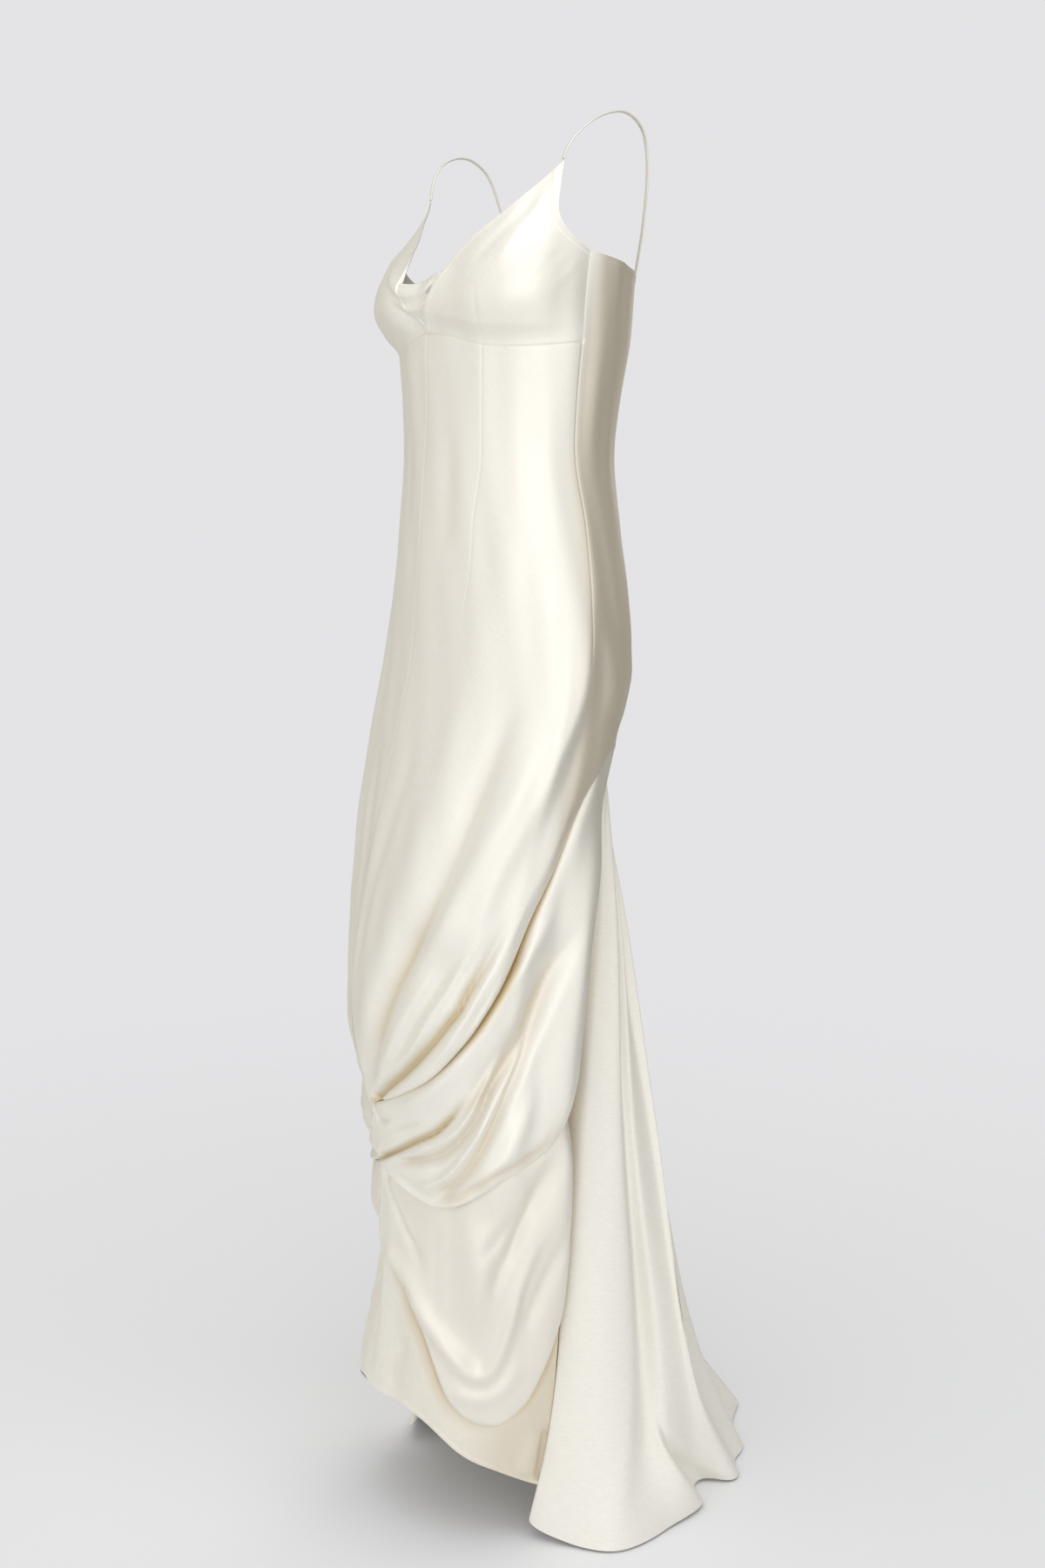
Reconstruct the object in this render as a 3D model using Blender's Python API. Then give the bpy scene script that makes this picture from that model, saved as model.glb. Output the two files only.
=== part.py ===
"""Long slip dress of bias-cut satin, hollow and in the pose it is worn in.

Metres, +Z up. The wearer faces -Y and the wearer's left is +X. The origin lies midway between
the tops of the two straps, where the dress hangs from the shoulders. Heights in the tables are
measured up from the floor that the train lies on, and angles run round the body in degrees from
the centre front towards the wearer's left side.

Every panel is a thin wall between four edge curves drawn on one chart of angle and height. The
chart is laid on a stack of body rings, and cups, drape edges and folds move it outwards.
"""

import bpy
import numpy as np

SHOULDER = 1.503        # strap tops above the floor
WALL = 0.0014           # thickness of the cloth walls
SEAM_GAP = 0.0003       # clear distance between two pieces along a seam
POSE_FROM = 1.00        # height at which the shoulders' turn and lean begin
POSE_TO = 1.50          # height at which they are complete
TURN = 9.0              # degrees that the shoulders are turned from the hips
LEAN = 0.11             # rise of the left shoulder for each metre across

# Body rings: height, half width, front depth, back depth, centre behind the straps
RINGS = (
    (0.000, 0.128, 0.134, 0.108, -0.085),
    (0.150, 0.134, 0.122, 0.116, -0.089),
    (0.250, 0.138, 0.108, 0.124, -0.093),
    (0.360, 0.142, 0.102, 0.130, -0.096),
    (0.450, 0.145, 0.107, 0.132, -0.100),
    (0.575, 0.150, 0.120, 0.130, -0.101),
    (0.690, 0.152, 0.122, 0.118, -0.085),
    (0.790, 0.158, 0.120, 0.108, -0.069),
    (0.870, 0.161, 0.118, 0.114, -0.055),
    (0.950, 0.162, 0.116, 0.117, -0.039),
    (1.030, 0.155, 0.112, 0.112, -0.035),
    (1.100, 0.143, 0.107, 0.104, -0.036),
    (1.170, 0.129, 0.104, 0.102, -0.037),
    (1.230, 0.132, 0.106, 0.106, -0.035),
    (1.287, 0.139, 0.111, 0.112, -0.033),
    (1.330, 0.143, 0.110, 0.112, -0.032),
    (1.380, 0.147, 0.100, 0.108, -0.028),
    (1.445, 0.150, 0.080, 0.098, -0.021),
    (1.520, 0.150, 0.062, 0.085, -0.003),
)
RING_RADIUS = 0.14      # mean radius that turns an angle into a distance along the cloth

# Bust cups: where the bust point is, how far it stands out and how far its swelling spreads
CUP_ANGLE, CUP_HEIGHT, CUP_OUT = 40.0, 1.333, 0.024
CUP_SPREAD, CUP_ABOVE, CUP_BELOW = 30.0, 0.070, 0.040

# The right cup, turned away, stands forward beside the cowl and lies back towards its strap
RIGHT_FORWARD = ((1.300, 0.0), (1.335, 0.009), (1.360, 0.008), (1.390, 0.0))     # height, metres
RIGHT_BACK = ((1.385, 0.0), (1.420, 0.0125), (1.455, 0.0190), (1.503, 0.0))      # height, metres

# Seams that run down the dress: height, angle
CENTRE_FRONT = (
    (0.100, 0.0), (0.250, 0.0), (0.417, 0.0), (0.482, 0.0), (0.560, -9.0), (0.620, -14.0), (0.700, -13.0),
    (0.860, -5.0), (1.060, -2.0), (1.190, -1.0), (1.300, 0.0),
)
SIDE_SEAM = (
    (0.750, 90.0), (0.950, 88.0), (1.010, 90.0), (1.100, 91.0), (1.190, 86.0), (1.280, 82.0), (1.365, 78.0),
)
TRAIN_SEAM = (
    (0.045, 110.0), (0.205, 116.0), (0.307, 121.0), (0.408, 127.0), (0.495, 134.0), (0.570, 140.5),
    (0.620, 142.0), (0.730, 144.0), (0.800, 147.0), (0.860, 150.0),
)

# Edges that run round the dress: angle, height
UNDERBUST = ((0.0, 1.300), (15.0, 1.292), (31.0, 1.282), (48.0, 1.278), (65.0, 1.278), (82.0, 1.280))
NECK_EDGE = ((0.0, 1.300), (10.0, 1.356), (16.0, 1.383), (34.0, 1.417), (52.0, 1.453))
RIGHT_NECK_EDGE = ((0.0, 1.300), (14.0, 1.352), (20.0, 1.376), (36.0, 1.417), (52.0, 1.453))
ARMHOLE = ((52.0, 1.453), (54.0, 1.428), (57.0, 1.402), (65.0, 1.382), (78.0, 1.365))
BACK_EDGE = ((78.0, 1.365), (92.0, 1.360), (110.0, 1.353), (142.0, 1.345), (180.0, 1.335))
DRAPE_EDGE = (
    (0.0, 0.482), (24.0, 0.508), (40.0, 0.532), (51.0, 0.557), (64.0, 0.598), (74.0, 0.645), (80.0, 0.690),
    (90.0, 0.750), (98.0, 0.798), (119.0, 0.862), (135.0, 0.870), (150.0, 0.860), (180.0, 0.850),
)
SWAG_EDGE = (
    (0.0, 0.417), (8.0, 0.408), (18.0, 0.400), (28.0, 0.392), (38.0, 0.387), (48.0, 0.391), (58.0, 0.402),
    (72.0, 0.421), (86.0, 0.434), (97.0, 0.448), (106.0, 0.480), (114.0, 0.530), (124.0, 0.585), (142.0, 0.620),
)
HEM = ((0.0, 0.152), (21.0, 0.150), (39.0, 0.130), (53.0, 0.105), (72.0, 0.083), (96.0, 0.055), (110.0, 0.045))

# Lips: how far a drape's folded edge stands out over the layer that is tucked in under it
LIP_OUT, LIP_SPREAD = 0.007, 0.030
TUCK_IN, TUCK_SPREAD, TUCK_UNDER = 0.004, 0.022, 0.014
DRAPE_LIP = (5.0, 30.0, 80.0, 118.0)     # angles: lip starts, is full, starts to fade, is gone
SWAG_LIP = (5.0, 22.0, 70.0, 125.0)

# Valley: deep fold where skirt and train meet, its depth and, by height, the angle where it starts
VALLEY_DEPTH = 0.034
VALLEY_FROM = (
    (0.045, 101.0), (0.205, 107.0), (0.300, 109.5), (0.370, 111.0), (0.440, 112.5), (0.530, 114.0),
    (0.583, 115.5), (0.635, 118.0), (0.690, 122.0), (0.750, 128.0), (0.860, 141.0),
)

# Folds: piece, angle from the centre front and height of start, middle and end, how far it
# stands out, half width
FOLDS = (
    ("front", 44, 0.578, 58, 0.625, 71, 0.703, 0.0050, 0.014),
    ("front", 12, 0.500, 42, 0.556, 67, 0.622, -0.0060, 0.012),
    ("front", 30, 0.570, 43, 0.625, 51, 0.690, 0.0040, 0.012),
    ("swag", 10, 0.440, 42, 0.473, 62, 0.545, -0.0070, 0.013),
    ("swag", 52, 0.440, 66, 0.500, 84, 0.620, 0.0070, 0.017),
    ("swag", 84, 0.470, 92, 0.580, 108, 0.720, 0.0080, 0.020),
    ("lower", 6, 0.370, 58, 0.205, 112, 0.310, 0.0150, 0.026),
    ("lower", 26, 0.330, 64, 0.245, 100, 0.330, -0.0100, 0.024),
    ("lower", 12, 0.255, 66, 0.136, 112, 0.240, 0.0100, 0.020),
    ("lower", 4, 0.300, 40, 0.180, 64, 0.105, -0.0080, 0.022),
)

# Train: folds from the seam to the centre back, each from its top angle on the back of the body
# through its place (x, y) at three heights down to its foot (x, y, height) at the hem
TRAIN_HEIGHTS = (0.70, 0.45, 0.12)
TRAIN_TOP = ((150.0, 0.8585), (180.0, 0.8485))
TRAIN_FOLDS = (
    ("edge", 151.0, 0.104, 0.0085, 0.131, -0.027, 0.1345, -0.0646, 0.132, -0.093, 0.020),
    ("face", 154.0, 0.110, 0.0175, 0.140, -0.006, 0.166, -0.032, 0.172, -0.069, 0.005),
    ("first ridge", 157.0, 0.111, 0.0315, 0.143, 0.018, 0.177, 0.008, 0.208, -0.036, 0.002),
    ("first trough", 160.0, 0.080, 0.041, 0.124, 0.035, 0.160, 0.040, 0.212, 0.006, 0.002),
    ("second ridge", 163.0, 0.083, 0.053, 0.129, 0.046, 0.170, 0.064, 0.194, 0.058, 0.002),
    ("second trough", 166.0, 0.066, 0.055, 0.114, 0.072, 0.156, 0.105, 0.151, 0.125, 0.002),
    ("third ridge", 169.0, 0.066, 0.068, 0.115, 0.083, 0.157, 0.121, 0.152, 0.178, 0.002),
    ("third trough", 171.5, 0.046, 0.063, 0.080, 0.090, 0.108, 0.145, 0.118, 0.202, 0.002),
    ("back ridge", 174.0, 0.030, 0.080, 0.046, 0.122, 0.066, 0.190, 0.094, 0.232, 0.002),
    ("back trough", 177.0, 0.014, 0.074, 0.020, 0.110, 0.030, 0.172, 0.045, 0.254, 0.002),
    ("centre back", 180.0, 0.000, 0.084, 0.000, 0.128, 0.000, 0.212, 0.000, 0.298, 0.002),
)
TRAIN_SEAM_CLEAR = 0.003     # room between the train's seam edge and the skirt's
TRAIN_WRAP = 6.0             # degrees that the train laps back over the skirt's edge, low down
TRAIN_CLEAR = 0.013          # how far it stays off the skirt there
TRAIN_WRAP_FROM, TRAIN_WRAP_TO = 0.42, 0.22   # heights between which the lap grows

# Straps: centre line from the cup's tip over the shoulder to the back edge (x, y, height)
STRAP = (
    (0.1180, -0.0695, 1.4545), (0.1190, -0.0635, 1.4680), (0.1210, -0.0500, 1.4820), (0.1235, -0.0280, 1.4960),
    (0.1250, 0.0000, 1.5030), (0.1245, 0.0220, 1.4970), (0.1220, 0.0380, 1.4800), (0.1160, 0.0480, 1.4450),
    (0.1050, 0.0540, 1.4000), (0.0935, 0.0570, 1.3620), (0.0897, 0.0568, 1.3472),
)
STRAP_WIDTH, STRAP_THICK = 0.0045, 0.0018
STRAP_STATIONS = 19

# Cowl: top and point of the inset, how far its top hangs down, how far it stands out
COWL_TOP, COWL_POINT, COWL_SAG = 1.3555, 1.3035, 0.010
COWL_LEFT = ((1.300, 0.0), (1.330, 4.6), (1.356, 10.0))   # height, angle of its side edge
COWL_RIGHT = ((1.300, 0.0), (1.327, 6.8), (1.352, 14.0))
COWL_CLEAR = 0.28                                          # degrees clear of each cup
COWL_PROUD, COWL_FOLD, COWL_ROLL = 0.012, 0.0022, 0.008

SATIN = ("satin", (0.86, 0.81, 0.70), 0.38)
CREPE = ("crepe side of the satin", (0.87, 0.82, 0.70), 0.62)


def clear_scene():
    for old in list(bpy.data.objects):
        bpy.data.objects.remove(old, do_unlink=True)


def through(x, table, column=1):
    """A smooth curve through the table's rows: a cubic between each two, with shared slopes."""
    xs = np.array([row[0] for row in table])
    ys = np.array([row[column] for row in table])
    x = np.clip(x, xs[0], xs[-1])
    slope = np.gradient(ys, xs)
    i = np.clip(np.searchsorted(xs, x, side="right") - 1, 0, len(xs) - 2)
    span = xs[i + 1] - xs[i]
    s = (x - xs[i]) / span
    return (
        ys[i] * (1 + 2 * s) * (1 - s) ** 2
        + ys[i + 1] * s * s * (3 - 2 * s)
        + span * (slope[i] * s * (1 - s) ** 2 - slope[i + 1] * s * s * (1 - s))
    )


def ease(x):
    """A smooth rise from 0 at x = 0 to 1 at x = 1."""
    x = np.clip(x, 0.0, 1.0)
    return x * x * (3 - 2 * x)


def lip(angle, spans):
    """How much of a drape's lip there is at an angle: none, rising, full, fading, none."""
    start, full, fade, gone = spans
    return ease((angle - start) / (full - start)) * (1 - ease((angle - fade) / (gone - fade)))


def tucked(angle, spans):
    """How far a layer runs on under the lip above it; it starts only where the lip is clear."""
    return TUCK_UNDER * ease((lip(angle, spans) - 0.45) / 0.55)


def along(angle, height):
    """Chart place in metres: distance round the dress and height."""
    return np.radians(angle) * RING_RADIUS, height


def from_centre_front(angle, height, side):
    """Angle measured from the centre-front seam, which wanders; it no longer matters at the side."""
    return angle - side * through(height, CENTRE_FRONT) * np.clip(1 - angle / 90.0, 0, 1)


def fold(angle, height, row):
    """A rounded ridge or trough along a smooth arc through three chart places, faded at both ends."""
    a0, h0, a1, h1, a2, h2, out, width = row[1:]
    s = np.linspace(0.0, 1.0, 25)
    b0, b1, b2 = (1 - s) * (1 - 2 * s), 4 * s * (1 - s), s * (2 * s - 1)
    px, py = along(b0 * a0 + b1 * a1 + b2 * a2, b0 * h0 + b1 * h1 + b2 * h2)
    x, y = along(angle, height)
    apart = np.hypot(x[..., None] - px, y[..., None] - py)
    nearest = apart.argmin(-1)
    fade = np.sin(np.pi * s[nearest]) ** 0.5
    return out * fade * np.exp(-((apart.min(-1) / width) ** 2))


def cup_swell(angle, height):
    """A rounded swelling at the bust point that ends at the underbust seam and the side seam."""
    spread = np.where(height > CUP_HEIGHT, CUP_ABOVE, CUP_BELOW)
    across = np.abs((np.abs(angle) - CUP_ANGLE) / CUP_SPREAD) ** 2.2
    swell = np.exp(-across - np.abs((height - CUP_HEIGHT) / spread) ** 2.2)
    above_seam = ease((height - through(np.abs(angle), UNDERBUST)) / 0.022)
    return CUP_OUT * swell * above_seam * (1 - ease((np.abs(angle) - 52.0) / 26.0))


def drape(angle, height, piece, side):
    """How far the cloth of one piece stands out from the body rings."""
    out = np.zeros(np.broadcast(angle, height).shape)
    if piece == "cup":
        out = out + cup_swell(angle, height)
    for row in FOLDS:
        if row[0] == piece:
            out = out + fold(from_centre_front(angle, height, side), height, row)
    if piece in ("front", "back"):
        above = np.clip(height - through(angle, DRAPE_EDGE), 0, None)
        out = out + LIP_OUT * lip(angle, DRAPE_LIP) * np.exp(-above / LIP_SPREAD)
    if piece == "swag":
        below = np.abs(through(angle, DRAPE_EDGE) - height)
        out = out - TUCK_IN * lip(angle, DRAPE_LIP) * np.exp(-below / TUCK_SPREAD)
        above = np.clip(height - through(angle, SWAG_EDGE), 0, None)
        out = out + 1.6 * LIP_OUT * lip(angle, SWAG_LIP) * np.exp(-above / LIP_SPREAD)
    if piece == "lower":
        below = np.abs(through(angle, SWAG_EDGE) - height)
        out = out - TUCK_IN * lip(angle, SWAG_LIP) * np.exp(-below / TUCK_SPREAD)
    if piece in ("swag", "lower"):
        seam = through(height, TRAIN_SEAM)
        start = through(height, VALLEY_FROM)
        depth = VALLEY_DEPTH * ease((0.86 - height) / 0.16) * (0.35 + 0.65 * ease((height - 0.045) / 0.16))
        out = out - depth * ease((angle - start) / (seam - start))
    return out


def posed(x, y, height):
    """Turn and lean the upper body about the strap line, more and more towards the shoulders."""
    share = ease((height - POSE_FROM) / (POSE_TO - POSE_FROM))
    turn = np.radians(TURN) * share
    return np.stack([
        x * np.cos(turn) - y * np.sin(turn),
        x * np.sin(turn) + y * np.cos(turn),
        height - SHOULDER + LEAN * share * x,
    ], -1)


def unposed(angle, height, piece, side=1, extra=0.0):
    """Body ring moved straight outwards by the drape, before the shoulders turn and lean."""
    half, front, back, centre = [through(height, RINGS, column) for column in (1, 2, 3, 4)]
    turn = np.radians(angle)
    depth = np.where(np.cos(turn) > 0, front, back)
    x, y = half * np.sin(turn), -depth * np.cos(turn)
    nx, ny = x / half**2, y / depth**2
    out = (drape(angle, height, piece, side) + extra) / np.hypot(nx, ny)
    return np.stack([x + out * nx, centre + y + out * ny, height + 0 * x], -1)


def right_shift(angle, height, side):
    """How far back the right cup and strap lie, compared with the left ones."""
    centre = 1 - ease((angle - 18.0) / 30.0)
    return (side < 0) * (through(height, RIGHT_BACK) - centre * through(height, RIGHT_FORWARD))


def cloth(angle, height, piece, side, extra=0.0):
    """Place of the cloth's outer face in the pose it is worn in."""
    place = unposed(angle, height, piece, side, extra)
    back = right_shift(angle, height, side) if piece == "cup" else 0.0
    return posed(side * place[..., 0], place[..., 1] + back, place[..., 2])


def chart_patch(left, right, top, bottom, across, down):
    """Angle and height over a panel: a Coons patch blended from its four edge curves.

    Each edge is a function of 0..1 that gives (angle, height). The patch is the blend of left and
    right, plus the blend of top and bottom, minus the blend of the four corners.
    """
    u, v = np.meshgrid(across, down, indexing="ij")
    planes = []
    for k in (0, 1):
        lines = [np.broadcast_to(edge(s)[k], s.shape) for edge, s in
                 ((left, v), (right, v), (top, u), (bottom, u))]
        corners = [
            np.broadcast_to(edge(np.array([s]))[k], (1,))[0]
            for edge, s in ((top, 0.0), (top, 1.0), (bottom, 0.0), (bottom, 1.0))
        ]
        planes.append(
            (1 - u) * lines[0] + u * lines[1] + (1 - v) * lines[2] + v * lines[3]
            - (1 - v) * ((1 - u) * corners[0] + u * corners[1])
            - v * ((1 - u) * corners[2] + u * corners[3])
        )
    return planes


def down_seam(seam, top, bottom):
    """Edge curve along a seam table of (height, angle), from one height to another."""
    def edge(s):
        height = top + (bottom - top) * s
        return through(height, seam), height
    return edge


def round_edge(table, start, end, raised=0.0):
    """Edge curve along a table of (angle, height); raised may be a function of the angle."""
    def edge(s):
        angle = start + (end - start) * s
        lift = raised(angle) if callable(raised) else raised
        return angle, through(angle, table) + lift
    return edge


def seam_inset(count, length, bunch=None):
    """Parameter values 0..1 drawn in by half a seam gap at both ends."""
    s = np.linspace(0.0, 1.0, count) if bunch is None else np.asarray(bunch)
    inset = 0.5 * SEAM_GAP / length
    return inset + (1 - 2 * inset) * s


def outward(points):
    """Normals of a grid of points, from the cross product of its two directions."""
    normal = np.cross(np.gradient(points, axis=0), np.gradient(points, axis=1))
    return normal / np.linalg.norm(normal, axis=-1, keepdims=True)


def wall_object(name, outer, inner, material):
    """Closed wall between two grids of points, with a rim of faces round its four edges."""
    across, down = outer.shape[:2]
    index = np.arange(across * down).reshape(across, down)
    a, b, c, d = index[:-1, :-1], index[1:, :-1], index[1:, 1:], index[:-1, 1:]
    half = np.stack([a, d, c, a, c, b], -1).reshape(-1, 3)
    below = half[:, ::-1] + across * down
    ring = np.concatenate([index[:, 0], index[-1, 1:], index[-2::-1, -1], index[0, -2:0:-1]])
    after = np.roll(ring, -1)
    under = across * down
    rim = np.concatenate([
        np.stack([ring, after, after + under], -1),
        np.stack([ring, after + under, ring + under], -1),
    ])
    points = np.concatenate([outer.reshape(-1, 3), inner.reshape(-1, 3)])
    mesh = bpy.data.meshes.new(name)
    mesh.from_pydata(points.tolist(), [], np.concatenate([half, below, rim]).tolist())
    mesh.materials.append(material)
    mesh.shade_smooth()
    mesh.set_sharp_from_angle(angle=np.radians(40))
    thing = bpy.data.objects.new(name, mesh)
    bpy.context.scene.collection.objects.link(thing)
    return thing


def panel(name, piece, side, angle, height, material):
    """Wall of cloth over a chart patch, as thick as WALL towards the body."""
    outer = cloth(angle, height, piece, side)
    step = 1e-4
    east = cloth(angle + np.degrees(step / RING_RADIUS), height, piece, side)
    west = cloth(angle - np.degrees(step / RING_RADIUS), height, piece, side)
    up = cloth(angle, height + step, piece, side)
    low = cloth(angle, height - step, piece, side)
    normal = np.cross(east - west, up - low) * side
    normal /= np.linalg.norm(normal, axis=-1, keepdims=True)
    inner = outer - WALL * normal
    if side < 0:
        outer, inner = outer[::-1], inner[::-1]
    return wall_object(name, outer, inner, material)


def make_material(kind, slot=""):
    name, colour, roughness = kind
    material = bpy.data.materials.new(f"{name} {slot}".strip())
    material.use_nodes = True
    shader = material.node_tree.nodes["Principled BSDF"]
    shader.inputs["Base Color"].default_value = (*colour, 1.0)
    shader.inputs["Roughness"].default_value = roughness
    shader.inputs["Metallic"].default_value = 0.0
    return material


FRONT_ROWS = 13         # grid lines down the side seam from the underbust seam
SIDE_TOP, SIDE_CUP, SIDE_END = 1.365, 1.280, 0.750   # side seam: armhole, underbust, drape edge


def side_rows():
    """Heights of the grid lines on the side seam, the same for front, cup and back."""
    return np.concatenate([
        np.linspace(SIDE_TOP, SIDE_CUP, 5)[:-1],
        np.linspace(SIDE_CUP, SIDE_END, FRONT_ROWS),
    ])


def centre_front(side):
    """The centre-front seam as a panel of one side sees it."""
    return tuple((height, side * angle) for height, angle in CENTRE_FRONT)


def both_sides():
    return ((1, "left"), (-1, "right"))


def neck(side):
    """Edge curve down the neckline of one cup, from the strap to the centre front."""
    edge = (NECK_EDGE if side > 0 else RIGHT_NECK_EDGE)[::-1]

    def place(s):
        s = s * (len(edge) - 1.0)
        return tuple(through(s, tuple((i, row[k]) for i, row in enumerate(edge))) for k in (0, 1))
    return place


def cups():
    for side, word in both_sides():
        angle, height = chart_patch(
            neck(side), down_seam(SIDE_SEAM, SIDE_TOP, SIDE_CUP),
            round_edge(ARMHOLE, 52.0, 78.0), round_edge(UNDERBUST, 0.0, 82.0),
            seam_inset(12, 0.16), seam_inset(9, 0.10),
        )
        panel(f"cup_{word}", "cup", side, angle, height, make_material(SATIN, f"cup {word}"))


def cowl():
    """Centre drape between the cups: soft folds that hang across, rolled in over the neck edge."""
    across = np.linspace(-1.0, 1.0, 11)
    down = np.array([-0.16, -0.10, 0.0, 0.14, 0.30, 0.48, 0.68, 0.90])
    u, v = np.meshgrid(across, down, indexing="ij")
    sag = COWL_SAG * (1 - u**2)
    below = np.clip(v, 0, None)
    height = (COWL_TOP - sag) * (1 - below) + COWL_POINT * below
    level = height + sag * (1 - below)
    width = np.where(u > 0, through(level, COWL_LEFT), through(level, COWL_RIGHT)) - COWL_CLEAR
    roll = np.clip(-v / 0.16, 0, 1)
    height = height + COWL_ROLL * np.where(roll > 0, 0.45 * np.sin(2.2 * np.pi * roll), 0.0)
    proud = COWL_PROUD * (1 - u**2) * (1 - below) ** 0.8
    proud = proud + COWL_FOLD * (1 - u**2) * np.sin(5.0 * np.pi * below) * (1 - below)
    proud = proud - COWL_ROLL * roll
    outer = cloth(np.abs(u) * width, height, "cup", np.where(u < 0, -1, 1), proud)
    normal = outward(outer)
    normal = normal * np.sign((normal * np.array([0.0, -1.0, 0.0])).sum(-1, keepdims=True).mean())
    wall_object("cowl", outer, outer - WALL * normal, make_material(SATIN, "cowl"))


def fronts():
    for side, word in both_sides():
        angle, height = chart_patch(
            down_seam(centre_front(side), 1.300, 0.482), down_seam(SIDE_SEAM, SIDE_CUP, SIDE_END),
            round_edge(UNDERBUST, 0.0, 82.0), round_edge(DRAPE_EDGE, 0.0, 90.0),
            seam_inset(13, 0.20), seam_inset(FRONT_ROWS, 0.54),
        )
        panel(f"front_{word}", "front", side, angle, height, make_material(SATIN, f"front {word}"))


def backs():
    rows = (SIDE_TOP - side_rows()) / (SIDE_TOP - SIDE_END)
    for side, word in both_sides():
        angle, height = chart_patch(
            down_seam(SIDE_SEAM, SIDE_TOP, SIDE_END), down_seam(((0.850, 180.0), (1.335, 180.0)), 1.335, 0.850),
            round_edge(BACK_EDGE, 78.0, 180.0), round_edge(DRAPE_EDGE, 90.0, 180.0),
            seam_inset(13, 0.24), seam_inset(0, 0.62, rows),
        )
        panel(f"back_{word}", "back", side, angle, height, make_material(SATIN, f"back {word}"))


def swags():
    for side, word in both_sides():
        angle, height = chart_patch(
            down_seam(centre_front(side), 0.482, 0.417), down_seam(TRAIN_SEAM, 0.860, 0.620),
            round_edge(DRAPE_EDGE, 0.0, 150.0, lambda a: tucked(a, DRAPE_LIP)),
            round_edge(SWAG_EDGE, 0.0, 142.0),
            seam_inset(21, 0.36), seam_inset(7, 0.065),
        )
        panel(f"swag_{word}", "swag", side, angle, height, make_material(SATIN, f"swag {word}"))


def lowers():
    for side, word in both_sides():
        angle, height = chart_patch(
            down_seam(centre_front(side), 0.417, 0.152), down_seam(TRAIN_SEAM, 0.620, 0.045),
            round_edge(SWAG_EDGE, 0.0, 142.0, lambda a: tucked(a, SWAG_LIP)),
            round_edge(HEM, 0.0, 110.0),
            seam_inset(21, 0.36), seam_inset(12, 0.27),
        )
        panel(f"lower_{word}", "lower", side, angle, height, make_material(CREPE, f"lower {word}"))


def train_points(across, down):
    """Grid over one half of the train, on the wearer's left.

    Down each fold a smooth curve runs from the seam at the back of the body through the fold's
    places to its foot; across, a smooth curve joins the folds in turn, seam edge first.
    """
    stations = np.array([0.0, 0.17, 0.46, 0.84, 1.0])
    seam_height = TRAIN_TOP[0][1] + (0.045 - TRAIN_TOP[0][1]) * down
    seam_angle = through(seam_height, TRAIN_SEAM) + np.degrees(TRAIN_SEAM_CLEAR / RING_RADIUS)
    lines = [unposed(seam_angle, seam_height, "lower")]
    for row in TRAIN_FOLDS:
        top_height = through(np.array([row[1]]), TRAIN_TOP)
        start = unposed(np.array([row[1]]), top_height, "train")[0]
        places = np.array([
            start,
            (row[2], row[3], TRAIN_HEIGHTS[0]),
            (row[4], row[5], TRAIN_HEIGHTS[1]),
            (row[6], row[7], TRAIN_HEIGHTS[2]),
            row[8:11],
        ])
        lines.append(np.stack([through(down, tuple(zip(stations, places[:, k]))) for k in range(3)], -1))
    halfway = 0.5 * (lines[0] + lines[1])
    lapped = unposed(seam_angle - TRAIN_WRAP, seam_height, "lower", 1, TRAIN_CLEAR)
    share = ease((TRAIN_WRAP_FROM - seam_height) / (TRAIN_WRAP_FROM - TRAIN_WRAP_TO))[:, None]
    lines.insert(1, (1 - share) * halfway + share * lapped)
    lines = np.array(lines)
    places = np.arange(len(lines))
    grid = np.empty((len(across), len(down), 3))
    for j in range(len(down)):
        for k in range(3):
            grid[:, j, k] = through(across * places[-1], tuple(zip(places, lines[:, j, k])))
    return grid


def trains():
    last = len(TRAIN_FOLDS) + 1
    across = np.concatenate([[0.0, 1.0], np.arange(2.0, last + 0.5, 0.5)]) / last
    down = np.linspace(0.0, 1.0, 12)
    grid = train_points(across, down)
    grid[-1, :, 0] = 0.5 * SEAM_GAP
    for side, word in both_sides():
        outer = posed(side * grid[..., 0], grid[..., 1], grid[..., 2])
        normal = -outward(outer) * side
        normal[-1, :, 0] = 0.0
        normal[-1] /= np.linalg.norm(normal[-1], axis=-1, keepdims=True)
        inner = outer - WALL * normal
        if side < 0:
            outer, inner = outer[::-1], inner[::-1]
        wall_object(f"train_{word}", outer, inner, make_material(CREPE, f"train {word}"))


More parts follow.
